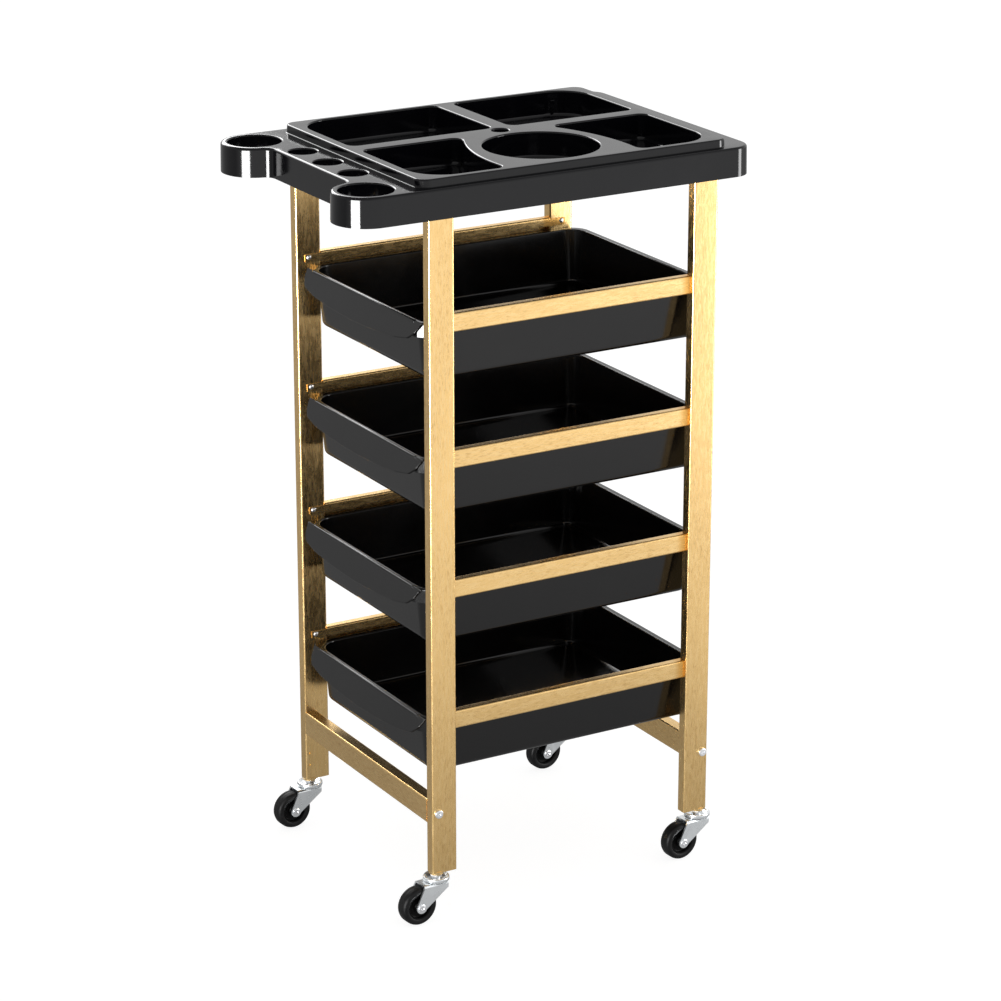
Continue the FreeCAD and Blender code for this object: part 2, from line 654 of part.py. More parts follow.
def make_balls(name, side, end):
    """The ring of bearing balls on the fork's crown."""
    balls = []
    for index in range(BALL_COUNT):
        angle = 2 * math.pi * index / BALL_COUNT
        ball = doc.addObject("Part::Sphere", f"{name}_{index + 1}")
        bind(ball, "Radius", size("ball_radius"))
        balls.append(move(ball, size("ball_circle") * math.cos(angle),
                          size("ball_circle") * math.sin(angle), size("crown_top") + size("ball_radius")))
    return stand(group(name, *balls), side, end)


def make_axle(name):
    """The axle with a riveted head outside each leg."""
    outer = size("leg_inner") + size("sheet")
    radius, head = size("axle_radius"), size("axle_head_radius")
    tip = outer + size("axle_head")
    return turned(name, [(0, -tip), (head, -tip), (head, -outer), (radius, -outer), (radius, outer),
                         (head, outer), (head, tip), (0, tip)])


def make_hub(name):
    """The wheel's moulded centre, dished on both sides."""
    bore, half, rim = size("hub_bore"), size("hub_half"), size("rim_radius")
    boss, dish, lip = bore + 3.7, half - 4, rim - 2
    return turned(name, [(bore, -half), (boss, -half), (boss, -dish), (lip, -dish), (lip, -half),
                         (rim, -half), (rim, half), (lip, half), (lip, dish), (boss, dish),
                         (boss, half), (bore, half)])


def make_tyre(name):
    """The solid tyre with its rounded shoulders."""
    rim, outer, half = size("rim_radius"), size("wheel_radius"), size("wheel_half")
    return turned(name, [(rim, -half + 0.6), (outer - 4.5, -half), (outer - 1.2, -half + 1.4),
                         (outer, -half + 4), (outer, half - 4), (outer - 1.2, half - 1.4),
                         (outer - 4.5, half), (rim, half - 0.6)])


def make_caster(corner, side, end):
    """The seven pieces of one caster."""
    prefix = f"{corner}_caster"
    keep(f"{prefix}_stem", stand(make_stem(f"{prefix}_stem"), side, end))
    keep(f"{prefix}_cap", stand(make_cap(f"{prefix}_cap"), side, end))
    keep(f"{prefix}_fork", make_fork(f"{prefix}_fork", side, end))
    keep(f"{prefix}_balls", make_balls(f"{prefix}_balls", side, end))
    keep(f"{prefix}_axle", on_axle(make_axle(f"{prefix}_axle"), side, end))
    keep(f"{prefix}_hub", on_axle(make_hub(f"{prefix}_hub"), side, end))
    keep(f"{prefix}_tyre", on_axle(make_tyre(f"{prefix}_tyre"), side, end))


# --- assembly --------------------------------------------------------------------------------

for corner, (side, end) in CORNERS.items():
    make_post(f"{corner}_post", side, end)
for label, end in ENDS.items():
    make_crossbar(f"{label}_crossbar", end)
for label, side in SIDES.items():
    for level in LEVELS:
        make_rail(f"{label}_rail_{level}", side, level)

keep("rail_rivets", group("rail_rivets", *[
    make_rivet(f"rivet_{corner}_{level}", side, end, level)
    for corner, (side, end) in CORNERS.items() for level in LEVELS]))
for node, maker in (("crossbar_bolts", make_bolt), ("crossbar_plugs", make_crossbar_plug),
                    ("foot_inserts", make_foot_insert), ("tray_screws", make_tray_screw)):
    keep(node, group(node, *[maker(f"{node}_{corner}", side, end)
                             for corner, (side, end) in CORNERS.items()]))

make_tray()
for level in LEVELS:
    make_drawer(f"drawer_{level}", level)
for corner, (side, end) in CORNERS.items():
    make_caster(corner, side, end)

doc.recompute()
for item in doc.Objects:
    if "Invalid" in item.State or "Error" in item.State:
        raise RuntimeError(f"{item.Name} did not build: {item.State}")
os.makedirs("parts", exist_ok=True)
for name, item in NODES.items():
    if item.Shape.isNull() or not item.Shape.isValid():
        raise RuntimeError(f"{name} has no valid shape")
    item.Shape.exportStep(f"parts/{name}.step")
print(f"{len(NODES)} sub-parts written")
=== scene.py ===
"""Looks of the rolling salon trolley: gold tube frame, black drawers and tray, plated casters.

Every length is in millimetres until a mesh is finished, when it is scaled to metres.
The frame's own axes hold throughout: +Z up, front at -Y, +X on the side of the round compartment.
"""

import logging
import math
from dataclasses import dataclass
from enum import Enum
from typing import Callable, Iterable, Sequence

import bmesh
import bpy
from mathutils import Matrix, Vector


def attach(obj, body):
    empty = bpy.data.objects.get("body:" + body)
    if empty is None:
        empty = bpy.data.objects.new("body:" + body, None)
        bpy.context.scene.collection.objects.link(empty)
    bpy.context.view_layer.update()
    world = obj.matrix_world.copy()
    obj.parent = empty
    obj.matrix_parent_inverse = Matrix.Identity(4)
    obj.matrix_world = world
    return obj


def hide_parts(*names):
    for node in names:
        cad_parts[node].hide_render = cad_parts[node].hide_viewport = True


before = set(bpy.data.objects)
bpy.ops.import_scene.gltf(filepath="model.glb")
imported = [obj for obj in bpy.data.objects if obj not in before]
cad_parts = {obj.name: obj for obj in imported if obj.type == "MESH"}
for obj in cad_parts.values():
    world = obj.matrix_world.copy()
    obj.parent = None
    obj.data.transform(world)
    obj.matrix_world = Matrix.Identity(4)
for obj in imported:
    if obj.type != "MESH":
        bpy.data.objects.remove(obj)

LOG = logging.getLogger("trolley")
METRES = 0.001
CORNERS = {"front_left": (-1, -1), "front_right": (1, -1), "rear_left": (-1, 1), "rear_right": (1, 1)}
SIDES = {"left": -1, "right": 1}
ENDS = {"front": -1, "rear": 1}
MIDDLE_Y = 26.0
CASTER_X, CASTER_Y = 153.5, 174.5
STAND = "stand"
SHARP_ANGLE = math.radians(38)

Pair = tuple[float, float]
Triple = tuple[float, float, float]
Colour = tuple[float, float, float, float]
Profile = Sequence[Pair]
Socket = bpy.types.NodeSocket
Mesh = bmesh.types.BMesh
Face = bmesh.types.BMFace
Item = bpy.types.Object


class Grain(Enum):
    """The direction in which a gold piece was brushed, as noise scales along X, Y and Z."""

    UPRIGHT = (1.0, 1.0, 0.2)
    FORE_AFT = (1.0, 0.2, 1.0)
    ACROSS = (0.2, 1.0, 1.0)


# --- node helpers ------------------------------------------------------------------------------

class Nodes:
    """Builds one shader tree with short calls."""

    def __init__(self, tree: bpy.types.NodeTree) -> None:
        """Keeps the tree that nodes are added to.

        Args:
            tree: a material's or a group's node tree.
        """
        self.tree = tree

    def add(self, kind: str, **settings: object) -> bpy.types.Node:
        """Adds a node and sets its properties.

        Args:
            kind: the node's type, without the ShaderNode prefix.
            settings: properties of the node by name.

        Returns:
            The new node.
        """
        node = self.tree.nodes.new("ShaderNode" + kind)
        for name, value in settings.items():
            setattr(node, name, value)
        return node

    def link(self, source: Socket, target: Socket) -> None:
        """Joins two sockets."""
        self.tree.links.new(source, target)

    def put(self, value: object, target: Socket) -> None:
        """Links an input to a socket, or sets it to a plain value."""
        if isinstance(value, Socket):
            self.link(value, target)
        else:
            target.default_value = value

    def feed(self, node: bpy.types.Node, **inputs: object) -> bpy.types.Node:
        """Sets or links a node's inputs.

        Args:
            node: the node to fill in.
            inputs: a value or a source socket for each input; underscores stand for spaces.

        Returns:
            The same node.
        """
        for name, value in inputs.items():
            self.put(value, node.inputs[name.replace("_", " ")])
        return node

    def ramp(self, mask: Socket, low: float, high: float) -> Socket:
        """Stretches a mask so that low becomes 0 and high becomes 1, with a smooth shoulder."""
        node = self.add("MapRange", interpolation_type="SMOOTHSTEP")
        self.feed(node, Value=mask, From_Min=low, From_Max=high)
        return node.outputs["Result"]

    def noise(self, where: Socket, scale: float, detail: float = 3.0,
              rough: float = 0.55) -> Socket:
        """A noise mask read at the given place."""
        node = self.add("TexNoise")
        self.feed(node, Vector=where, Scale=scale, Detail=detail, Roughness=rough)
        return node.outputs["Fac"]

    def mix(self, mask: object, first: object, second: object) -> Socket:
        """Blends two colours by a mask."""
        node = self.add("Mix", data_type="RGBA")
        for index, value in ((0, mask), (6, first), (7, second)):
            self.put(value, node.inputs[index])
        return node.outputs[2]

    def math(self, operation: str, *values: object) -> Socket:
        """One arithmetic step on masks."""
        node = self.add("Math", operation=operation)
        for index, value in enumerate(values):
            self.put(value, node.inputs[index])
        return node.outputs[0]

    def axis(self, where: Socket, letter: str) -> Socket:
        """One coordinate of a place."""
        return self.feed(self.add("SeparateXYZ"), Vector=where).outputs[letter]

    def spread(self, value: Socket, start: Pair, end: tuple[object, object]) -> Socket:
        """Maps a value from one span to another, held at both ends."""
        node = self.add("MapRange")
        self.feed(node, Value=value, From_Min=start[0], From_Max=start[1], To_Min=end[0], To_Max=end[1])
        return node.outputs["Result"]

    def stretched(self, where: Socket, scales: Sequence[float]) -> Socket:
        """The same place with its axes scaled."""
        node = self.add("Mapping")
        self.feed(node, Vector=where, Scale=tuple(scales))
        return node.outputs["Vector"]

    def bump(self, height: Socket, strength: float, reach: float) -> Socket:
        """A bumped normal from a height mask."""
        node = self.add("Bump")
        self.feed(node, Height=height, Strength=strength, Distance=reach)
        return node.outputs["Normal"]


def new_group(name: str, inputs: Sequence[tuple[str, str]],
              outputs: Sequence[tuple[str, str]]) -> tuple[bpy.types.NodeTree, Nodes,
                                                           bpy.types.Node, bpy.types.Node]:
    """Starts a shader node group.

    Args:
        name: the group's name.
        inputs: name and socket kind of each input.
        outputs: name and socket kind of each output.

    Returns:
        The group, its node helper, its input node and its output node.
    """
    group = bpy.data.node_groups.new(name, "ShaderNodeTree")
    for label, kind in inputs:
        group.interface.new_socket(name=label, in_out="INPUT", socket_type="NodeSocket" + kind)
    for label, kind in outputs:
        group.interface.new_socket(name=label, in_out="OUTPUT", socket_type="NodeSocket" + kind)
    nodes = Nodes(group)
    return group, nodes, group.nodes.new("NodeGroupInput"), group.nodes.new("NodeGroupOutput")


def surface_wear_group() -> bpy.types.NodeTree:
    """Handling marks shared by every moulded and plated finish.

    Returns:
        A group that takes a place and a scale and gives a dust mask and a fine scratch mask.
    """
    group, nodes, enter, leave = new_group(
        "surface_wear", (("Place", "Vector"), ("Scale", "Float")), (("Dust", "Float"), ("Scratch", "Float")))
    scaled = nodes.add("VectorMath", operation="SCALE")
    nodes.link(enter.outputs["Place"], scaled.inputs[0])
    nodes.link(enter.outputs["Scale"], scaled.inputs["Scale"])
    clouds = nodes.noise(scaled.outputs[0], 9.0, 5.0, 0.6)
    nodes.link(nodes.ramp(clouds, 0.42, 0.72), leave.inputs["Dust"])
    streaks = nodes.noise(nodes.stretched(scaled.outputs[0], (14.0, 150.0, 90.0)), 1.0, 2.0)
    nodes.link(nodes.ramp(streaks, 0.60, 0.72), leave.inputs["Scratch"])
    return group


def brushed_antique_group() -> bpy.types.NodeTree:
    """Antiqued brushing: long dark flecks, pale strokes and slow patches.

    Returns:
        A group that takes a place already stretched along the brushing and gives three masks and a height.
    """
    group, nodes, enter, leave = new_group(
        "brushed_antique", (("Place", "Vector"), ("Patch Place", "Vector")),
        (("Fleck", "Float"), ("Stroke", "Float"), ("Patch", "Float"), ("Height", "Float")))
    place = enter.outputs["Place"]
    broad = nodes.noise(enter.outputs["Patch Place"], 16.0, 3.0, 0.6)
    fine = nodes.noise(place, 640.0, 3.0, 0.65)
    strokes = nodes.noise(place, 330.0, 4.0, 0.6)
    gate = nodes.ramp(broad, 0.30, 0.62)
    flecks = nodes.math("MULTIPLY", nodes.ramp(fine, 0.50, 0.68), gate)
    nodes.link(flecks, leave.inputs["Fleck"])
    nodes.link(nodes.ramp(strokes, 0.38, 0.66), leave.inputs["Stroke"])
    nodes.link(nodes.ramp(broad, 0.30, 0.70), leave.inputs["Patch"])
    nodes.link(nodes.math("SUBTRACT", strokes, nodes.math("MULTIPLY", flecks, 0.5)), leave.inputs["Height"])
    return group


# --- finishes ----------------------------------------------------------------------------------

class Groups:
    """The shared node groups, made once."""

    wear: bpy.types.NodeTree
    antique: bpy.types.NodeTree

    @classmethod
    def make(cls) -> None:
        """Builds the groups."""
        cls.wear = surface_wear_group()
        cls.antique = brushed_antique_group()


def start_material(name: str) -> tuple[bpy.types.Material, Nodes, bpy.types.Node, Socket]:
    """A material with a bare Principled shader.

    Args:
        name: the material's name.

    Returns:
        The material, its node helper, the shader and the Object coordinates.
    """
    material = bpy.data.materials.new(name)
    material.use_nodes = True
    nodes = Nodes(material.node_tree)
    shader = material.node_tree.nodes["Principled BSDF"]
    place = nodes.add("TexCoord").outputs["Object"]
    return material, nodes, shader, place


def worn(nodes: Nodes, place: Socket, scale: float, colour: Colour, dusting: tuple[float, Colour],
         roughness: Pair) -> tuple[Socket, Socket, Socket]:
    """Dusts a colour and dulls its gloss with the shared wear.

    Args:
        nodes: the material's node helper.
        place: Object coordinates.
        scale: of the wear's pattern.
        colour: the clean colour.
        dusting: how much dust shows, and its colour.
        roughness: when clean, and how much the dust adds.

    Returns:
        The colour, the roughness and the scratch mask.
    """
    wear = nodes.feed(nodes.add("Group", node_tree=Groups.wear), Place=place, Scale=scale)
    dust = wear.outputs["Dust"]
    toned = nodes.mix(nodes.math("MULTIPLY", dust, dusting[0]), colour, dusting[1])
    rough = nodes.math("MULTIPLY_ADD", dust, roughness[1], roughness[0])
    return toned, rough, wear.outputs["Scratch"]


@dataclass(frozen=True)
class GoldPaint:
    """Antiqued gold, brushed lengthwise; the rails' rear ends get a painted shadow of the posts with a
    painted gold reflection in it.
    """

    grain: Grain
    base: Colour = (0.90, 0.60, 0.25, 1.0)
    pale: Colour = (0.95, 0.72, 0.38, 1.0)
    dull: Colour = (0.70, 0.48, 0.22, 1.0)
    dark: Colour = (0.42, 0.22, 0.06, 1.0)
    # painted shadow and painted reflection: the orange-brown of the rails' last centimetre at the rear,
    # where the posts shade them
    painted_shadow: Colour = (0.66, 0.34, 0.07, 1.0)
    stroke_share: float = 0.25
    patch_share: float = 0.2
    fleck_share: float = 0.42
    painted_shadow_share: float = 0.8
    painted_shadow_y: Pair = (0.163, 0.173)
    roughness: Pair = (0.24, 0.06)
    patch_scales: Pair = (0.35, 1.6)

    def make(self) -> bpy.types.Material:
        """Builds the material."""
        material, nodes, shader, place = start_material("gold_paint_" + self.grain.name.lower())
        slow = [self.patch_scales[0] if along < 1 else self.patch_scales[1] for along in self.grain.value]
        group = nodes.feed(nodes.add("Group", node_tree=Groups.antique),
                           Place=nodes.stretched(place, self.grain.value),
                           Patch_Place=nodes.stretched(place, slow))
        layers = [(group.outputs["Stroke"], self.stroke_share, self.pale),
                  (group.outputs["Patch"], self.patch_share, self.dull),
                  (group.outputs["Fleck"], self.fleck_share, self.dark)]
        # painted shade: the rails' rear ends darken to orange-brown, a painted shadow of the post with gold
        # reflected in it
        if self.grain is Grain.FORE_AFT:
            layers.append((nodes.ramp(nodes.axis(place, "Y"), *self.painted_shadow_y), self.painted_shadow_share, self.painted_shadow))
        colour = self.base
        for mask, share, tone in layers:
            colour = nodes.mix(nodes.math("MULTIPLY", mask, share), colour, tone)
        smooth, stroked = self.roughness
        roughness = nodes.math("MULTIPLY_ADD", group.outputs["Stroke"], stroked, smooth)
        nodes.feed(shader, Base_Color=colour, Roughness=roughness, Metallic=1.0,
                   Normal=nodes.bump(group.outputs["Height"], 0.05, 0.0003))
        return material


@dataclass(frozen=True)
class MouldedPlastic:
    """Black moulded plastic, from glossy to satin."""

    name: str
    colour: Colour
    roughness: float
    grain: float
    ior: float
    dusting: tuple[float, Colour] = (0.03, (0.05, 0.048, 0.046, 1.0))
    scratched: float = 0.03
    waviness: float = 6.0

    def make(self) -> bpy.types.Material:
        """Builds the material."""
        material, nodes, shader, place = start_material(self.name)
        colour, rough, scratch = worn(nodes, place, 1.0, self.colour, self.dusting, (self.roughness, 0.07))
        rougher = nodes.math("MULTIPLY_ADD", scratch, self.scratched, rough)
        pebble, ripple = nodes.noise(place, 1500.0, 2.0), nodes.noise(place, 26.0, 1.0)
        height = nodes.math("MULTIPLY_ADD", ripple, self.waviness, pebble)
        nodes.feed(shader, Base_Color=colour, Roughness=rougher, IOR=self.ior,
                   Normal=nodes.bump(height, self.grain, 0.00025))
        return material


@dataclass(frozen=True)
class PlatedSteel:
    """Bright plated or zinc-coated steel."""

    name: str
    colour: Colour
    roughness: float
    stain: float
    stain_colour: Colour = (0.34, 0.34, 0.34, 1.0)

    def make(self) -> bpy.types.Material:
        """Builds the material."""
        material, nodes, shader, place = start_material(self.name)
        colour, rough, _ = worn(nodes, place, 6.0, self.colour, (self.stain, self.stain_colour),
                                (self.roughness, 0.12))
        nodes.feed(shader, Base_Color=colour, Roughness=rough, Metallic=1.0,
                   Normal=nodes.bump(nodes.noise(place, 420.0, 3.0), 0.12, 0.0004))
        return material


@dataclass(frozen=True)
class WheelRubber:
    """Matt black tread or hub compound with dust and a fine bumped texture."""

    name: str
    colour: Colour
    roughness: float
    dust: float
    ior: float
    dust_colour: Colour = (0.08, 0.078, 0.075, 1.0)

    def make(self) -> bpy.types.Material:
        """Builds the material."""
        material, nodes, shader, place = start_material(self.name)
        colour, rough, _ = worn(nodes, place, 5.0, self.colour, (self.dust, self.dust_colour),
                                (self.roughness, 0.15))
        nodes.feed(shader, Base_Color=colour, Roughness=rough, IOR=self.ior,
                   Normal=nodes.bump(nodes.noise(place, 900.0, 3.0), 0.3, 0.0003))
        return material


class Finishes:
    """Every finish of the trolley, made once and shared."""

    def __init__(self) -> None:
        """Builds all the materials."""
        Groups.make()
        self.gold_upright = GoldPaint(Grain.UPRIGHT).make()
        self.gold_rail = GoldPaint(Grain.FORE_AFT).make()
        self.gold_cross = GoldPaint(Grain.ACROSS).make()
        self.gloss_black = MouldedPlastic("gloss_black", (0.0028, 0.0028, 0.0042, 1.0), 0.07, 0.06,
                                          1.42).make()
        self.drawer_black = MouldedPlastic("drawer_black", (0.0034, 0.0030, 0.0032, 1.0), 0.11, 0.05,
                                           1.48).make()
        self.plated = PlatedSteel("plated_steel", (0.93, 0.96, 0.98, 1.0), 0.27, 0.12).make()
        self.zinc = PlatedSteel("zinc_steel", (0.90, 0.91, 0.93, 1.0), 0.30, 0.12).make()
        self.brass = PlatedSteel("brass_boss", (0.86, 0.60, 0.27, 1.0), 0.28, 0.20).make()
        self.tread = WheelRubber("wheel_tread", (0.006, 0.006, 0.0065, 1.0), 0.45, 0.06, 1.3).make()
        self.hub = WheelRubber("wheel_hub", (0.003, 0.003, 0.003, 1.0), 0.35, 0.03, 1.2).make()


# --- meshes ------------------------------------------------------------------------------------

def bevel(mesh: Mesh, parts: Sequence[object], width: float, segments: int, affect: str = "EDGES") -> None:
    """Rounds edges or corners."""
    bmesh.ops.bevel(mesh, geom=parts, offset=width, affect=affect, segments=segments, profile=0.5,
                    material=-1)


def push(mesh: Mesh, made: dict[str, list], way: Triple) -> None:
    """Moves the corners that an extrusion has made."""
    moved = [item for item in made["geom"] if isinstance(item, bmesh.types.BMVert)]
    bmesh.ops.translate(mesh, vec=way, verts=moved)


def draw_chain(mesh: Mesh, points: Sequence[Triple]) -> None:
    """Draws a line of edges, by extruding its last corner again and again."""
    last = mesh.verts.new(points[0])
    for point in points[1:]:
        last = bmesh.ops.extrude_vert_indiv(mesh, verts=[last])["verts"][0]
        last.co = Vector(point)


def draw_strip(points: Sequence[Triple], depth: float, fold: float) -> Mesh:
    """A sheet folded along a line of points and drawn out along Y.

    Args:
        points: the section.
        depth: how far it is drawn out.
        fold: the radius of its bends.

    Returns:
        The sheet.
    """
    mesh = bmesh.new()
    draw_chain(mesh, points)
    push(mesh, bmesh.ops.extrude_edge_only(mesh, edges=mesh.edges[:]), (0, depth, 0))
    bevel(mesh, [edge for edge in mesh.edges if len(edge.link_faces) == 2], fold, 5)
    return mesh


class Pen:
    """Draws one closed outline on a level plane, by extruding and spinning a vertex."""

    def __init__(self, mesh: Mesh, height: float, flip: Callable[[float, float],
                 Pair] | None = None) -> None:
        """Gets ready to draw.

        Args:
            mesh: the bmesh to draw in.
            height: the plane's height.
            flip: turns a drawn point into its real place, for a mirrored outline.
        """
        self.mesh = mesh
        self.height = height
        self.flip = flip or (lambda x, y: (x, y))
        self.turn = -1.0 if flip and flip(0, 1)[1] - flip(0, 0)[1] < 0 else 1.0
        self.before = set(mesh.verts)
        self.last: bmesh.types.BMVert | None = None

    def to(self, x: float, y: float) -> "Pen":
        """Draws a straight edge to a point, or starts there."""
        x, y = self.flip(x, y)
        if self.last is None:
            self.last = self.mesh.verts.new((x, y, self.height))
        else:
            made = bmesh.ops.extrude_vert_indiv(self.mesh, verts=[self.last])
            self.last = made["verts"][0]
            self.last.co = Vector((x, y, self.height))
        return self

    def arc(self, x: float, y: float, degrees: float, steps: int) -> "Pen":
        """Spins the last point round a centre.

        Args:
            x: the centre's place.
            y: the centre's place.
            degrees: how far to turn, counterclockwise seen from above.
            steps: the number of edges.

        Returns:
            The pen itself.
        """
        x, y = self.flip(x, y)
        made = bmesh.ops.spin(self.mesh, geom=[self.last], cent=(x, y, self.height), axis=(0, 0, 1),
                              angle=math.radians(degrees) * self.turn, steps=steps)
        self.last = next(item for item in made["geom_last"] if isinstance(item, bmesh.types.BMVert))
        return self

    def close(self) -> Face:
        """Joins the ends and fills the outline with one upward face."""
        drawn = [vert for vert in self.mesh.verts if vert not in self.before]
        bmesh.ops.remove_doubles(self.mesh, verts=drawn, dist=0.01)
        drawn = [vert for vert in drawn if vert.is_valid]
        ends = [vert for vert in drawn if len(vert.link_edges) == 1]
        if len(ends) == 2:
            self.mesh.edges.new(ends)
        edges = list({edge for vert in drawn for edge in vert.link_edges})
        face = bmesh.ops.contextual_create(self.mesh, geom=edges)["faces"][0]
        face.normal_update()
        if face.normal.z < 0:
            face.normal_flip()
        return face


def round_box(pen: Pen, x: Pair, y: Pair,
              radii: tuple[float, float, float, float], steps: int = 8) -> Face:
    """Draws a rectangle with rounded corners.

    Args:
        pen: a pen that has drawn nothing yet.
        x: low and high place.
        y: low and high place.
        radii: of the front left, front right, rear right and rear left corners.
        steps: edges in each corner.

    Returns:
        The filled face.
    """
    front_left, front_right, rear_right, rear_left = radii
    pen.to(x[0] + front_left, y[0]).to(x[1] - front_right, y[0])
    pen.arc(x[1] - front_right, y[0] + front_right, 90, steps).to(x[1], y[1] - rear_right)
    pen.arc(x[1] - rear_right, y[1] - rear_right, 90, steps).to(x[0] + rear_left, y[1])
    pen.arc(x[0] + rear_left, y[1] - rear_left, 90, steps).to(x[0], y[0] + front_left)
    pen.arc(x[0] + front_left, y[0] + front_left, 90, steps)
    return pen.close()


def circle(mesh: Mesh, x: float, y: float, height: float, radius: float,
           steps: int = 48) -> Face:
    """Draws a filled circle, facing up."""
    return Pen(mesh, height).to(x + radius, y).arc(x, y, 360, steps).close()


def inset(mesh: Mesh, face: Face, inward: float, rise: float) -> None:
    """Shrinks a face and moves it along its normal, leaving a wall round it."""
    bmesh.ops.inset_region(mesh, faces=[face], thickness=inward, depth=rise, use_even_offset=True,
                           use_boundary=True)


def roll(mesh: Mesh, face: Face, radius: float, rise: float,
         from_level: bool, steps: int = 4) -> None:
    """Insets a face along a quarter round.

    Args:
        mesh: the bmesh that the face is in.
        face: the face, whose outline starts the round.
        radius: of the round.
        rise: +1 when the face ends higher, -1 when it ends lower.
        from_level: whether the round starts level and ends upright, or the other way about.
        steps: the number of rings.
    """
    for step in range(steps):
        first, second = (math.pi / 2 * (step + end) / steps for end in (0, 1))
        along = radius * (math.sin(second) - math.sin(first))
        aside = radius * (math.cos(first) - math.cos(second))
        inward, up = (along, aside) if from_level else (aside, along)
        inset(mesh, face, inward, up * rise)


def open_face(mesh: Mesh, face: Face) -> list[bmesh.types.BMEdge]:
    """Removes a face and leaves its edges."""
    edges = list(face.edges)
    bmesh.ops.delete(mesh, geom=[face], context="FACES_ONLY")
    return edges


def fill_round(mesh: Mesh, outer: Iterable[bmesh.types.BMEdge],
               holes: Iterable[Face]) -> None:
    """Fills the level space between an outline and the faces that lie in it."""
    edges = list(outer) + [edge for face in holes for edge in face.edges]
    bmesh.ops.triangle_fill(mesh, use_beauty=True, use_dissolve=False, edges=edges, normal=(0, 0, 1))


def finish_mesh(mesh: Mesh, name: str) -> Item:
    """Turns a bmesh in millimetres into an object in metres.

    Args:
        mesh: the bmesh, which is freed.
        name: the object's name.

    Returns:
        The object, linked to the scene.
    """
    bmesh.ops.scale(mesh, vec=(METRES,) * 3, verts=mesh.verts)
    for face in mesh.faces:
        face.smooth = True
    data = bpy.data.meshes.new(name)
    mesh.to_mesh(data)
    mesh.free()
    item = bpy.data.objects.new(name, data)
    bpy.context.scene.collection.objects.link(item)
    return item


def apply_modifiers(item: Item) -> None:
    """Turns an object's modifiers into plain mesh."""
    graph = bpy.context.evaluated_depsgraph_get()
    graph.update()
    data = bpy.data.meshes.new_from_object(item.evaluated_get(graph), depsgraph=graph)
    item.modifiers.clear()
    item.data = data


def bake(item: Item, sharp: float = SHARP_ANGLE) -> Item:
    """Applies an object's modifiers, marks its sharp edges and evens its shading.

    Args:
        item: the object.
        sharp: the angle from which an edge is sharp.

    Returns:
        The same object.
    """
    apply_modifiers(item)
    item.data.shade_smooth()
    item.data.set_sharp_from_angle(angle=sharp)
    even = item.modifiers.new("even_shading", "WEIGHTED_NORMAL")
    even.keep_sharp = True
    return item


def thicken(item: Item, wall: float, centred: bool = False) -> None:
    """Gives a sheet its wall, behind its faces or on both sides."""
    solid = item.modifiers.new("wall", "SOLIDIFY")
    solid.thickness = wall * METRES
    solid.offset = 0.0 if centred else -1.0
    solid.use_even_offset = True


def ease_edges(item: Item, width: float, segments: int = 2, degrees: float = 40) -> None:
    """Bevels an object's sharp edges."""
    bevel = item.modifiers.new("eased_edges", "BEVEL")
    bevel.width = width * METRES
    bevel.segments = segments
    bevel.limit_method = "ANGLE"
    bevel.angle_limit = math.radians(degrees)
    bevel.use_clamp_overlap = True


def combine(item: Item, other: Item, operation: str) -> None:
    """Joins, cuts or intersects an object with another, which is used up."""
    merge = item.modifiers.new("combined", "BOOLEAN")
    merge.operation = operation
    merge.solver = "EXACT"
    merge.object = other
    apply_modifiers(item)
    bpy.data.objects.remove(other)


def eased_block(size: Triple, width: float, middle: Triple) -> Mesh:
    """A block with eased edges."""
    mesh = bmesh.new()
    bmesh.ops.create_cube(mesh, size=1.0)
    bmesh.ops.scale(mesh, vec=size, verts=mesh.verts)
    bevel(mesh, mesh.edges[:], width, 2)
    return place_mesh(mesh, Matrix.Translation(middle))


def lathe(profile: Profile, steps: int = 40) -> Mesh:
    """Spins a closed profile of (radius, height) pairs about Z.

    Args:
        profile: the outline, from which points on the axis may close the ends.
        steps: segments round the axis.

    Returns:
        A bmesh with outward faces.
    """
    mesh = bmesh.new()
    draw_chain(mesh, [(radius, 0, height) for radius, height in profile])
    bmesh.ops.spin(mesh, geom=mesh.verts[:] + mesh.edges[:], cent=(0, 0, 0), axis=(0, 0, 1),
                   angle=math.tau, steps=steps, use_merge=True)
    bmesh.ops.remove_doubles(mesh, verts=mesh.verts, dist=0.002)
    bmesh.ops.recalc_face_normals(mesh, faces=mesh.faces)
    return mesh


def ring_of(profile: Profile, steps: int = 40) -> Mesh:
    """Spins a profile that doesn't touch the axis, closed back to its first point."""
    return lathe(list(profile) + [profile[0]], steps)


def two_sided(half: Profile) -> list[Pair]:
    """A profile followed by its mirror image below height 0."""
    return [*half, *((radius, -place) for radius, place in reversed(half))]


def place_mesh(mesh: Mesh, matrix: Matrix) -> Mesh:
    """Moves a whole bmesh and returns it."""
    bmesh.ops.transform(mesh, matrix=matrix, verts=mesh.verts)
    return mesh


def merge_meshes(parts: Sequence[Mesh]) -> Mesh:
    """Puts separate shells into one bmesh."""
    whole = bmesh.new()
    for part in parts:
        data = bpy.data.meshes.new("part")
        part.to_mesh(data)
        part.free()
        whole.from_mesh(data)
        bpy.data.meshes.remove(data)
    return whole


def dress(item: Item, material: bpy.types.Material, body: str,
          nodes: Sequence[str]) -> Item:
    """Gives a piece its material, body, slot and the CAD nodes that it stands for.

    Args:
        item: the finished piece.
        material: its finish.
        body: the body that it rides on.
        nodes: the CAD nodes that it replaces.

    Returns:
        The same piece.
    """
    item.data.materials.clear()
    item.data.materials.append(material)
    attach(item, body)
    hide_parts(*nodes)
    LOG.info("%s: %d faces on %s", item.name, len(item.data.polygons), body)
    return item


def repaint(node: str, material: bpy.types.Material) -> None:
    """Gives a CAD node that stays a better material."""
    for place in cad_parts[node].material_slots:
        place.material = material


# --- frame of tube and rail --------------------------------------------------------------------

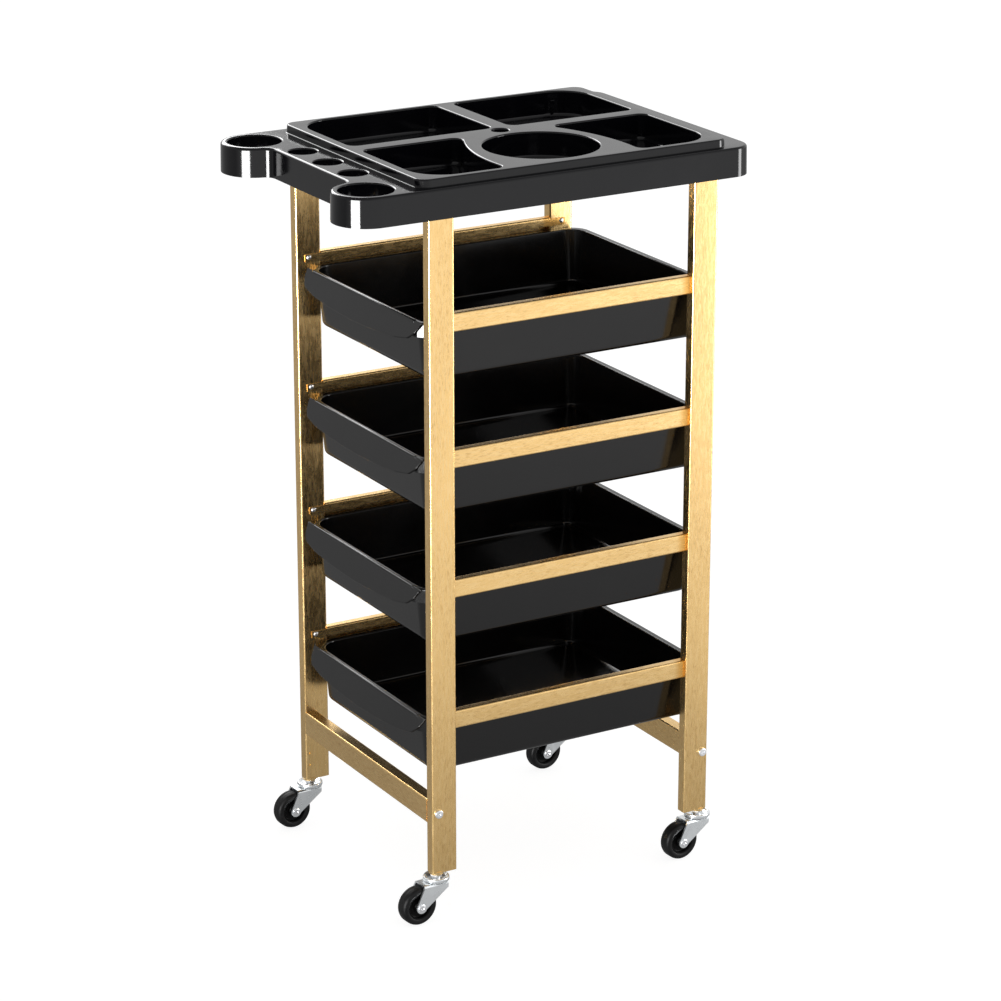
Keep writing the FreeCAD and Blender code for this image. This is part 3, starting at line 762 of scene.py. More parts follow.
@dataclass
class TubeFrame:
    """Posts, crossbars, rails and the fasteners between them."""

    finishes: Finishes
    half_width: float = 160.5
    half_depth: float = 182.5
    post: Pair = (14.0, 31.0)
    post_span: Pair = (57.0, 818.0)
    wall: float = 1.2
    corner: float = 2.2
    rail_tops: tuple[float, ...] = (702.0, 549.0, 400.0, 246.0)
    rail_height: float = 21.0
    rail_x: Pair = (141.5, 156.0)
    rail_lip: Pair = (145.3, 10.5)
    rail_tab: float = 20.5
    rivet_drop: float = 5.5
    crossbar_z: Pair = (115.0, 144.0)
    crossbar_depth: float = 15.0
    screw_z: float = 800.0
    stake_heights: Pair = (76.0, 91.0)
    stake_inset: float = 4.5
    block_height: float = 34.0
    block_z: float = 74.4

    @property
    def inner_x(self) -> float:
        """Where the posts' inner faces are."""
        return self.half_width - self.post[0]

    @property
    def inner_y(self) -> float:
        """How far from the middle the posts' near faces are."""
        return self.half_depth - self.post[1]

    @property
    def post_y(self) -> float:
        """How far from the middle the posts' own middles are."""
        return self.half_depth - self.post[1] / 2

    def span(self, side: int, low: float, high: float, middle: float = 0.0) -> Pair:
        """A pair of places at one side of the middle, in rising order."""
        ends = sorted((middle + side * low, middle + side * high))
        return ends[0], ends[1]

    def tube(self, name: str, x: Pair, y: Pair, z: Pair,
             axis: int) -> Item:
        """A rounded rectangular tube, open at both ends.

        Args:
            name: the piece's name.
            x: low and high place.
            y: low and high place.
            z: low and high place.
            axis: the one that it runs along.

        Returns:
            The tube.
        """
        mesh = bmesh.new()
        bmesh.ops.create_cube(mesh, size=1.0)
        spans = (x, y, z)
        size = Vector([high - low for low, high in spans])
        bmesh.ops.scale(mesh, vec=size, verts=mesh.verts)
        bmesh.ops.translate(mesh, vec=Vector([high + low for low, high in spans]) / 2, verts=mesh.verts)
        edges = [edge for edge in mesh.edges
                 if abs((edge.verts[0].co - edge.verts[1].co).normalized()[axis]) > 0.9]
        bevel(mesh, edges, self.corner, 5)
        item = finish_mesh(mesh, name)
        mesh = bmesh.new()
        mesh.from_mesh(item.data)
        caps = [face for face in mesh.faces if abs(face.normal[axis]) > 0.9]
        bmesh.ops.delete(mesh, geom=caps, context="FACES_ONLY")
        mesh.to_mesh(item.data)
        mesh.free()
        thicken(item, self.wall)
        ease_edges(item, 0.25, 2, 60)
        return item

    def drill(self, item: Item, x: float, y: float, z: float, radius: float,
              reach: float) -> None:
        """Cuts a round hole along X."""
        mesh = bmesh.new()
        bmesh.ops.create_cone(mesh, cap_ends=True, segments=20, radius1=radius, radius2=radius,
                              depth=reach)
        place_mesh(mesh, Matrix.Translation((x, y, z)) @ Matrix.Rotation(math.pi / 2, 4, "Y"))
        combine(item, finish_mesh(mesh, "drill"), "DIFFERENCE")

    def build_posts(self) -> None:
        """The four uprights with their stake holes."""
        for corner, (side, end) in CORNERS.items():
            item = self.tube(f"{corner}_upright", self.span(side, self.inner_x, self.half_width),
                             self.span(end, self.inner_y, self.half_depth, MIDDLE_Y),
                             self.post_span, 2)
            apply_modifiers(item)
            for height in self.stake_heights:
                self.drill(item, side * self.inner_x,
                           MIDDLE_Y + end * (self.half_depth - self.stake_inset), height, 1.5, 3.0)
            bake(item)
            dress(item, self.finishes.gold_upright, STAND, [f"{corner}_post"])

    def build_crossbars(self) -> None:
        """The low bars between the posts, front and rear."""
        for label, end in ENDS.items():
            low = self.half_depth - self.crossbar_depth
            item = self.tube(f"{label}_low_bar", (-self.inner_x, self.inner_x),
                             self.span(end, low, self.half_depth, MIDDLE_Y), self.crossbar_z, 0)
            dress(bake(item), self.finishes.gold_cross, STAND, [f"{label}_crossbar"])

    def build_rail(self, label: str, side: int, level: int) -> None:
        """One folded channel with a turned-down lip that runs on as tabs.

        Args:
            label: left or right.
            side: -1 or +1.
            level: 1 at the top to 4.
        """
        top, half = self.rail_tops[level - 1], self.wall / 2
        web, lip, foot = self.rail_x[1] - half, self.rail_lip[0] + half, top - self.rail_height + half
        near, far = MIDDLE_Y - self.inner_y, MIDDLE_Y + self.inner_y
        section = ((self.rail_x[0], foot), (web, foot), (web, top - half), (lip, top - half),
                   (lip, top - self.rail_lip[1]))
        mesh = draw_strip([(x * side, near, z) for x, z in section], far - near, 1.5)
        for place, reach in ((near, -self.rail_tab), (far, self.rail_tab)):
            ends = [edge for edge in mesh.edges
                    if all(abs(vert.co.y - place) < 0.01 and abs(abs(vert.co.x) - lip) < 0.01
                           for vert in edge.verts)]
            push(mesh, bmesh.ops.extrude_edge_only(mesh, edges=ends), (0, reach, 0))
        bmesh.ops.recalc_face_normals(mesh, faces=mesh.faces)
        item = finish_mesh(mesh, f"{label}_channel_{level}")
        thicken(item, self.wall, centred=True)
        ease_edges(item, 0.25, 2, 60)
        dress(bake(item), self.finishes.gold_rail, STAND, [f"{label}_rail_{level}"])

    def stud(self, profile: Profile, side: int, x: float, y: float, z: float,
             steps: int = 28) -> Mesh:
        """A turned fastener whose head looks away from the post along X.

        Args:
            profile: (radius, distance out of the face) pairs from the head's middle to the shank's end.
            side: +1 when the head looks along +X.
            x: the face that it sits on.
            y: its place.
            z: its place.
            steps: segments round it.

        Returns:
            The placed bmesh.
        """
        turn = Matrix.Rotation(math.pi / 2 * side, 4, "Y")
        return place_mesh(lathe(profile, steps), Matrix.Translation((x, y, z)) @ turn)

    def build_fasteners(self) -> None:
        """Bolts, rivets and screws."""
        rivet = [(0, 1.3), (1.4, 1.2), (2.5, 0.75), (3.0, 0.1), (3.0, 0), (1.5, 0), (1.5, -3.5), (0, -3.5)]
        bolt = [(0, 1.5), (2.1, 1.5), (2.15, 2.95), (4.1, 3.0), (4.7, 2.7), (5.0, 2.1), (5.0, 0),
                (2.9, 0), (2.9, -30), (0, -30)]
        screw = [(0, 1.2), (0.9, 1.3), (1.3, 2.0), (2.6, 1.6), (3.5, 0.4), (3.5, 0), (1.9, 0),
                 (1.9, -8.8), (0, -8.8)]
        rivets, bolts, screws = [], [], []
        for side, end in CORNERS.values():
            y = MIDDLE_Y + end * self.post_y
            rivets += [self.stud(rivet, -side, side * (self.inner_x - self.wall), y,
                                 top - self.rivet_drop, 20) for top in self.rail_tops]
            bolts.append(self.stud(bolt, side, side * self.half_width,
                                   MIDDLE_Y + end * (self.half_depth - self.crossbar_depth / 2),
                                   sum(self.crossbar_z) / 2))
            screws.append(self.stud(screw, -side, side * self.inner_x, y, self.screw_z, 20))
        for parts, name, node in ((rivets, "rivet_heads", "rail_rivets"), (bolts, "socket_bolts",
                                  "crossbar_bolts"), (screws, "rim_screws", "tray_screws")):
            item = finish_mesh(merge_meshes(parts), name)
            dress(bake(item), self.finishes.zinc, STAND, [node])

    def build_feet(self) -> None:
        """The blocks that close the posts, each with its round boss."""
        parts = []
        for side, end in CORNERS.values():
            low, high = (self.inner_x + self.wall, self.half_width - self.wall)
            size = (high - low, self.post[1] - 2 * self.wall, self.block_height)
            parts.append(eased_block(size, 0.8, (side * (low + high) / 2, MIDDLE_Y + end * self.post_y,
                                                 self.block_z)))
            boss = ring_of([(5.1, 54.6), (7.2, 54.5), (8.0, 55.2), (8.0, 58.5), (5.1, 58.5)])
            at = Matrix.Translation((side * CASTER_X, MIDDLE_Y + end * CASTER_Y, 0))
            parts.append(place_mesh(boss, at))
        item = finish_mesh(merge_meshes(parts), "foot_bosses")
        dress(bake(item), self.finishes.brass, STAND, ["foot_inserts"])

    def build(self) -> None:
        """Builds every piece of the frame."""
        self.build_posts()
        self.build_crossbars()
        for label, side in SIDES.items():
            for level in range(1, len(self.rail_tops) + 1):
                self.build_rail(label, side, level)
        self.build_fasteners()
        self.build_feet()
        repaint("crossbar_plugs", self.finishes.zinc)


# --- top tray ----------------------------------------------------------------------------------

@dataclass
class TopTray:
    """The moulded top: skirt, shelf with rings and tool holes, raised plate with compartments."""

    finishes: Finishes
    half_width: float = 168.0
    front: float = -214.0
    rear: float = 252.0
    rear_round: float = 25.0
    skirt_z: float = 810.0
    rim_z: float = 843.0
    top_z: float = 852.0
    wall: float = 1.7
    ring_x: float = 130.0
    ring_outer: float = 38.0
    ring_bore: float = 30.0
    ring_fillet: float = 12.0
    tool_xs: tuple[float, ...] = (-58.0, 0.0, 58.0)
    tool_y: float = -191.0
    tool_bore: float = 16.0
    plate_half: float = 158.5
    plate_front: float = -165.0
    plate_rear: float = 223.0
    plate_round: float = 14.0
    lip: float = 1.8
    floor_depth: float = 30.0
    floor_round: float = 4.5
    mirror_y: float = 28.75
    big_round: float = 40.0
    small_round: float = 10.0
    sweep: Triple = (120.0, 174.0, 231.0)
    wells_front: float = -152.5
    left_x: Pair = (-151.0, -18.0)
    left_ends: Pair = (26.0, 48.0)
    wells_rear: float = 210.0
    right_x: Pair = (3.0, 149.0)
    bowl: Triple = (80.0, 29.0, 64.5)
    socket: Triple = (-4.5, 27.0, 10.0)
    boss: Triple = (11.2, 28.0, 50.0)
    boss_at: Triple = (153.5, 167.0, 816.0)

    def draw_rim(self, mesh: Mesh) -> Face:
        """Draws the whole outline with its two rings, at the skirt's lower edge."""
        spread, fillet = self.ring_outer + self.ring_fillet, self.ring_fillet
        across = math.sqrt(spread ** 2 - fillet ** 2)
        inside = math.degrees(math.atan2(fillet, across))
        turn = 180 - inside
        pen = Pen(mesh, self.skirt_z)
        corner = self.rear_round
        pen.to(self.half_width, self.front).to(self.half_width, self.rear - corner)
        pen.arc(self.half_width - corner, self.rear - corner, 90, 10)
        pen.to(corner - self.half_width, self.rear)
        pen.arc(corner - self.half_width, self.rear - corner, 90, 10).to(-self.half_width, self.front)
        pen.arc(-self.ring_x, self.front, turn, 26)
        pen.arc(across - self.ring_x, self.front - fillet, inside - 90, 7)
        pen.to(self.ring_x - across, self.front)
        pen.arc(self.ring_x - across, self.front - fillet, inside - 90, 7)
        pen.arc(self.ring_x, self.front, turn, 26)
        return pen.close()

    def sink(self, mesh: Mesh, face: Face, depth: float, through: bool,
             draft: float = 0.6) -> None:
        """Turns a face into a well with a rolled lip, or a tube open at its foot.

        Args:
            mesh: the bmesh.
            face: its mouth.
            depth: from the mouth to the floor or the tube's foot.
            through: whether it is open at its foot.
            draft: how much it narrows.
        """
        roll(mesh, face, self.lip, -1, True)
        if through:
            inset(mesh, face, draft * 0.3, self.lip - depth)
            open_face(mesh, face)
            return
        inset(mesh, face, draft, self.lip + self.floor_round - depth)
        roll(mesh, face, self.floor_round, -1, False)

    def swept_well(self, mesh: Mesh, mirrored: bool) -> Face:
        """Draws the mouth of a near compartment, whose end bows away from the round one."""
        grow = self.lip
        x, y = (self.right_x[0] - grow, self.right_x[1] + grow), self.wells_front - grow
        big, small = self.big_round + grow, self.small_round + grow
        cx, cy, radius = self.sweep[0], self.sweep[1], self.sweep[2] - grow

        def fillet(centre_x: float) -> Pair:
            """Centre height of the fillet between an upright side and the bow, and its bearing."""
            rise = math.sqrt((radius + small) ** 2 - (centre_x - cx) ** 2)
            return cy - rise, math.degrees(math.atan2(rise, cx - centre_x))

        right_y, right_turn = fillet(x[1] - small)
        left_y, left_turn = fillet(x[0] + small)
        flip = (lambda px, py: (px, 2 * self.mirror_y - py)) if mirrored else None
        pen = Pen(mesh, self.top_z, flip)
        pen.to(x[0] + small, y).to(x[1] - big, y).arc(x[1] - big, y + big, 90, 12)
        pen.to(x[1], right_y).arc(x[1] - small, right_y, right_turn, 8)
        pen.arc(cx, cy, left_turn - right_turn, 14)
        pen.arc(x[0] + small, left_y, 180 - left_turn, 8)
        pen.to(x[0], y + small).arc(x[0] + small, y + small, 90, 8)
        return pen.close()

    def wells(self, mesh: Mesh) -> list[Face]:
        """Draws the mouths of the five compartments."""
        grow = self.lip
        small, big = self.small_round + grow, self.big_round + grow
        across = (self.left_x[0] - grow, self.left_x[1] + grow)
        front = round_box(Pen(mesh, self.top_z), across, (self.wells_front - grow, self.left_ends[0] + grow),
                          (big, small, small, small), 10)
        rear = round_box(Pen(mesh, self.top_z), across, (self.left_ends[1] - grow, self.wells_rear + grow),
                         (small, small, small, big), 10)
        bowl = circle(mesh, self.bowl[0], self.bowl[1], self.top_z, self.bowl[2] + grow, 64)
        return [front, rear, self.swept_well(mesh, False), self.swept_well(mesh, True), bowl]

    def build(self) -> None:
        """Builds the tray and the bosses under it."""
        mesh = bmesh.new()
        face = self.draw_rim(mesh)
        inset(mesh, face, 0.5, self.rim_z - self.skirt_z - 3.0)
        roll(mesh, face, 3.0, 1, False, 5)
        outer = open_face(mesh, face)
        plate = round_box(Pen(mesh, self.rim_z), (-self.plate_half - 1, self.plate_half + 1),
                          (self.plate_front - 1, self.plate_rear + 1), (self.plate_round + 1,) * 4)
        rings = [circle(mesh, side * self.ring_x, self.front, self.rim_z, self.ring_bore + self.lip, 56)
                 for side in SIDES.values()]
        tools = [circle(mesh, x, self.tool_y, self.rim_z, self.tool_bore + self.lip, 36)
                 for x in self.tool_xs]
        fill_round(mesh, outer, [plate, *rings, *tools])
        for ring in rings:
            self.sink(mesh, ring, self.rim_z - self.skirt_z - 0.5, True)
        for tool in tools:
            self.sink(mesh, tool, 15.0, True)
        roll(mesh, plate, 1.0, 1, True, 3)
        inset(mesh, plate, 0.5, self.top_z - self.rim_z - 1.0 - self.lip)
        roll(mesh, plate, self.lip, 1, False)
        outer = open_face(mesh, plate)
        wells = self.wells(mesh)
        socket = circle(mesh, self.socket[0], self.socket[1], self.top_z, self.socket[2] + self.lip, 32)
        fill_round(mesh, outer, [*wells, socket])
        for well in wells:
            self.sink(mesh, well, self.floor_depth, False)
        self.sink(mesh, socket, self.floor_depth - 3, False, 0.3)
        bmesh.ops.recalc_face_normals(mesh, faces=mesh.faces)
        highest = max(mesh.faces, key=lambda item: item.calc_center_median().z)
        if highest.normal.z < 0:
            bmesh.ops.reverse_faces(mesh, faces=mesh.faces)
        item = finish_mesh(mesh, "moulded_top")
        thicken(item, self.wall)
        bake(item)
        dress(item, self.finishes.gloss_black, STAND, ["top_tray"])
        self.build_bosses()

    def build_bosses(self) -> None:
        """The blocks under the tray that plug the posts."""
        x, y, z = self.boss_at
        parts = [eased_block(self.boss, 1.0, (side * x, MIDDLE_Y + end * y, z))
                 for side, end in CORNERS.values()]
        item = finish_mesh(merge_meshes(parts), "tray_bosses")
        dress(bake(item), self.finishes.gloss_black, STAND, ["top_tray"])


# --- drawers -----------------------------------------------------------------------------------

@dataclass
class Drawer:
    """One moulded drawer with its flange, front rim, bead and sloping pull."""

    finishes: Finishes
    level: int
    rail_top: float
    forward: float = 0.0
    half_flange: float = 146.0
    flange_y: Pair = (-152.0, 217.0)
    chamfer: float = 26.0
    wall: float = 2.2
    half_top: float = 140.5
    top_y: Pair = (-145.0, 212.0)
    half_foot: float = 132.0
    foot_y: Pair = (-140.0, 204.0)
    depth: float = 65.0
    front_round: float = 28.0
    rear_round: float = 22.0
    floor_round: float = 5.0
    foot_tighter: float = 10.0
    lip: float = 1.4
    pull_outline: tuple[Pair, ...] = (
        (133.0, 0.0), (127.5, 7.0), (119.0, 11.2), (94.0, 13.8), (56.0, 15.4), (0.0, 16.3))
    pull_slope: float = 1.6
    pull_at: Pair = (-150.0, 2.2)
    pull_thick: float = 2.4
    bead_radius: float = 2.6
    bead_length: float = 236.0
    bead_y: float = -149.6
    flange_thick: float = 4.4
    rim_drop: float = 11.6

    @property
    def top(self) -> float:
        """Height of the flange's upper face."""
        return self.rail_top - 15.0

    def shell(self) -> Item:
        """The bin, its flange and its front rim, from one sheet."""
        mesh = bmesh.new()
        half, (front, rear) = self.half_flange, self.flange_y
        pen = Pen(mesh, self.top - self.flange_thick)
        cut, back = self.chamfer, self.rear_round
        pen.to(cut - half, front).to(half - cut, front).to(half, front + cut).to(half, rear - back)
        pen.arc(half - back, rear - back, 90, 8).to(back - half, rear)
        pen.arc(back - half, rear - back, 90, 8).to(-half, front + cut)
        face = pen.close()
        corners = [vert for vert in face.verts if vert.co.y < front + cut + 0.1]
        bevel(mesh, corners, 4.0, 4, "VERTICES")
        face = max(mesh.faces, key=lambda item: item.calc_area())
        inset(mesh, face, 0.0001, self.flange_thick - self.lip)
        roll(mesh, face, self.lip, 1, False)
        outer = open_face(mesh, face)
        grow, wall = self.lip, self.wall
        mouth = round_box(Pen(mesh, self.top),
                          (wall - grow - self.half_top, self.half_top - wall + grow),
                          (self.top_y[0] + wall - grow, self.top_y[1] - wall + grow),
                          (self.front_round,) * 2 + (self.rear_round,) * 2, 10)
        fill_round(mesh, outer, [mouth])
        roll(mesh, mouth, self.lip, -1, True)
        inset(mesh, mouth, 0.0001, self.lip + self.floor_round + wall - self.depth)
        self.taper(mesh, mouth)
        roll(mesh, mouth, self.floor_round, -1, False, 5)
        rim = [edge for edge in mesh.edges if len(edge.link_faces) == 1
               and all(vert.co.y < front + cut + 0.5 for vert in edge.verts)]
        push(mesh, bmesh.ops.extrude_edge_only(mesh, edges=rim), (0, 0, -self.rim_drop))
        bmesh.ops.recalc_face_normals(mesh, faces=mesh.faces)
        floor = min(mesh.faces, key=lambda item: item.calc_center_median().z - item.calc_area() * 0.001)
        if floor.normal.z < 0:
            bmesh.ops.reverse_faces(mesh, faces=mesh.faces)
        item = finish_mesh(mesh, f"drawer_{self.level}_moulding")
        thicken(item, self.wall)
        return bake(item)

    def taper(self, mesh: Mesh, face: Face) -> None:
        """Draws the wall's foot in to the floor's outline, corner by corner."""
        verts = list(face.verts)
        wall, middle = self.wall, sum(self.top_y) / 2
        for side in SIDES.values():
            for end, top, foot, radius in ((-1, self.top_y[0], self.foot_y[0], self.front_round),
                                           (1, self.top_y[1], self.foot_y[1], self.rear_round)):
                corner = [vert for vert in verts
                          if vert.co.x * side > 0 and (vert.co.y - middle) * end > 0]
                small = radius - self.foot_tighter
                old = Vector((side * (self.half_top - wall - radius), top - end * (wall + radius), 0))
                new = Vector((side * (self.half_foot - wall - small), foot - end * (wall + small), 0))
                ratio = small / radius
                bmesh.ops.scale(mesh, vec=(ratio, ratio, 1), space=Matrix.Translation(-old), verts=corner)
                bmesh.ops.translate(mesh, vec=new - old, verts=corner)

    def pull(self) -> Mesh:
        """The sloping pull, its lower edge bowed and its corners rounded."""
        mesh = bmesh.new()
        steep = math.hypot(1, self.pull_slope)
        outline = [(x, -reach * steep) for x, reach in self.pull_outline]
        outline += [(-x, down) for x, down in outline[-2::-1]]
        pen = Pen(mesh, 0)
        for x, down in outline:
            pen.to(x, down)
        face = pen.close()
        soft = [vert for vert in face.verts if vert.co.y < -8]
        bevel(mesh, soft, 2.5, 3, "VERTICES")
        push(mesh, bmesh.ops.extrude_face_region(mesh, geom=mesh.faces[:]), (0, 0, -self.pull_thick))
        bmesh.ops.recalc_face_normals(mesh, faces=mesh.faces)
        rims = [edge for edge in mesh.edges
                if edge.calc_face_angle(0) > math.radians(60)
                and abs(edge.verts[0].co.z - edge.verts[1].co.z) < 0.01]
        bevel(mesh, rims, 0.7, 3)
        lean = Matrix.Rotation(math.atan(self.pull_slope), 4, "X")
        return place_mesh(mesh, Matrix.Translation((0, self.pull_at[0], self.top + self.pull_at[1])) @ lean)

    def bead(self) -> Mesh:
        """The rolled bead along the front of the flange."""
        mesh = bmesh.new()
        bmesh.ops.create_cone(mesh, cap_ends=True, segments=24, radius1=self.bead_radius,
                              radius2=self.bead_radius, depth=self.bead_length)
        ends = [edge for edge in mesh.edges if abs(edge.verts[0].co.z - edge.verts[1].co.z) < 0.01]
        bevel(mesh, ends, 2.2, 4)
        turn = Matrix.Rotation(math.pi / 2, 4, "Y")
        return place_mesh(mesh, Matrix.Translation((0, self.bead_y, self.top)) @ turn)

    def build(self) -> None:
        """Builds the drawer as one moulding."""
        item = self.shell()
        item.modifiers.clear()
        extra = finish_mesh(merge_meshes([self.pull(), self.bead()]), "front_detail")
        whole = bmesh.new()
        whole.from_mesh(item.data)
        whole.from_mesh(extra.data)
        bpy.data.objects.remove(extra)
        bmesh.ops.translate(whole, vec=(0, -self.forward * METRES, 0), verts=whole.verts)
        whole.to_mesh(item.data)
        whole.free()
        bake(item)
        node = f"drawer_{self.level}"
        dress(item, self.finishes.drawer_black, node, [node])


# --- casters -----------------------------------------------------------------------------------

@dataclass
class Caster:
    """One swivel caster, made about its own upright axis with the wheel trailing along -Y."""

    finishes: Finishes
    corner: str
    side: int
    end: int
    turn: float = 3.0
    trail: float = 25.5
    axle_z: float = 22.0
    leg: Pair = (9.0, 11.0)
    crown_z: Pair = (45.5, 47.5)

    @property
    def stand_at(self) -> Matrix:
        """From the caster's own frame to its place under the post."""
        at = Matrix.Translation((self.side * CASTER_X, MIDDLE_Y + self.end * CASTER_Y, 0))
        return at @ Matrix.Rotation(math.radians(self.turn), 4, "Z")

    @property
    def axle_at(self) -> Matrix:
        """From a turned piece's own axis to the axle line."""
        lay = Matrix.Rotation(math.pi / 2, 4, "Y")
        return self.stand_at @ Matrix.Translation((0, -self.trail, self.axle_z)) @ lay

    def piece(self, mesh: Mesh, name: str, at: Matrix, material: bpy.types.Material,
              body: str, sharp: float = SHARP_ANGLE) -> None:
        """Finishes one turned piece and dresses it."""
        node = f"{self.corner}_caster_{name}"
        item = finish_mesh(place_mesh(mesh, at), f"{node}_detail")
        dress(bake(item, sharp), material, body, [node])

    def stem(self) -> Mesh:
        """The stem with its hexagonal collar and the riveted end under the fork."""
        shaft = lathe([(0, 43.5), (5.6, 43.5), (7.2, 44.1), (7.5, 44.8), (7.5, 45.2), (5.0, 45.3),
                       (5.0, 56), (0, 56)])
        collar = bmesh.new()
        bmesh.ops.create_cone(collar, cap_ends=True, segments=6, radius1=7.4, radius2=7.4, depth=2.3)
        bevel(collar, collar.edges[:], 0.4, 2)
        return merge_meshes([shaft, place_mesh(collar, Matrix.Translation((0, 0, 53.4)))])

    def cap(self) -> Mesh:
        """The pressed upper race with a rolled outer edge."""
        return ring_of([(5.1, 49.2), (5.1, 50.2), (7.6, 50.0), (10.0, 50.3), (11.8, 51.2), (12.8, 52.2),
                        (13.5, 52.5), (14.3, 52.4), (14.8, 51.9), (15.0, 51.1), (15.0, 48.7), (14.8, 48.1),
                        (13.9, 48.1), (13.6, 48.6), (13.4, 50.4), (11.6, 49.9), (10.0, 49.2)], 48)

    def fork(self) -> Item:
        """The folded fork: a channel cut to the legs' outline, with a round crown."""
        across, level = sum(self.leg) / 2, sum(self.crown_z) / 2
        section = ((-across, 8), (-across, level), (across, level), (across, 8))
        mesh = draw_strip([(x, -36, z) for x, z in section], 46, 2.6)
        bmesh.ops.recalc_face_normals(mesh, faces=mesh.faces)
        item = finish_mesh(mesh, f"{self.corner}_caster_fork_detail")
        thicken(item, self.leg[1] - self.leg[0], centred=True)
        combine(item, self.leg_outline(), "INTERSECT")
        crown = lathe([(0, 45.5), (13.2, 45.5), (14.0, 46.0), (14.0, 47.0), (13.2, 47.5), (0, 47.5)], 40)
        combine(item, finish_mesh(crown, "crown"), "UNION")
        ease_edges(item, 0.35, 2, 35)
        at = self.stand_at
        at.translation = at.translation * METRES
        item.data.transform(at)
        return bake(item)

    def leg_outline(self) -> Item:
        """A slab across the fork with the legs' side outline."""
        mesh, across = bmesh.new(), 26
        pen = Pen(mesh, 0)
        pen.to(10, 50).to(-22, 50).to(-21.5, 45).to(-self.trail - 6.4, self.axle_z + 1.5)
        pen.arc(-self.trail, self.axle_z, 170, 12)
        pen.to(9.5, 40)
        push(mesh, bmesh.ops.extrude_face_region(mesh, geom=[pen.close()]), (0, 0, across))
        bmesh.ops.recalc_face_normals(mesh, faces=mesh.faces)
        place_mesh(mesh, Matrix(((0, 0, 1, -across / 2), (1, 0, 0, 0), (0, 1, 0, 0), (0, 0, 0, 1))))
        return finish_mesh(mesh, "leg_outline")

    def axle(self) -> Mesh:
        """The axle with a dished rivet head outside each leg."""
        half = [(0, 11.4), (1.5, 11.5), (2.1, 12.3), (3.4, 12.4), (4.3, 11.9), (4.5, 11.0), (3.0, 11.0)]
        return lathe(two_sided(half), 28)

    def hub(self) -> Mesh:
        """The moulded wheel centre, dished on both sides."""
        half = [(3.3, 7.0), (6.2, 7.0), (6.9, 6.4), (7.2, 3.4), (8.0, 3.0), (12.0, 3.0), (12.8, 3.4),
                (13.1, 6.2), (13.6, 6.9), (15.0, 7.0)]
        return ring_of(two_sided(half), 48)

    def tyre(self) -> Mesh:
        """The tyre with rounded shoulders and fine tread grooves."""
        half = [(15.0, 7.1), (16.2, 7.8), (18.6, 8.0), (20.2, 7.5), (21.3, 6.3), (21.9, 4.6), (22.0, 2.7),
                (21.7, 2.5), (21.7, 2.1), (22.0, 1.9)]
        return ring_of(two_sided(half), 64)

    def build(self) -> None:
        """Builds six of the caster's pieces and repaints its balls."""
        fork_body, wheel_body = f"{self.corner}_fork", f"{self.corner}_wheel"
        self.piece(self.stem(), "stem", self.stand_at, self.finishes.zinc, STAND)
        self.piece(self.cap(), "cap", self.stand_at, self.finishes.plated, STAND)
        node = f"{self.corner}_caster_fork"
        dress(self.fork(), self.finishes.plated, fork_body, [node])
        self.piece(self.axle(), "axle", self.axle_at, self.finishes.zinc, fork_body)
        self.piece(self.hub(), "hub", self.axle_at, self.finishes.hub, wheel_body)
        self.piece(self.tyre(), "tyre", self.axle_at, self.finishes.tread, wheel_body)
        repaint(f"{self.corner}_caster_balls", self.finishes.zinc)


# --- studio ------------------------------------------------------------------------------------

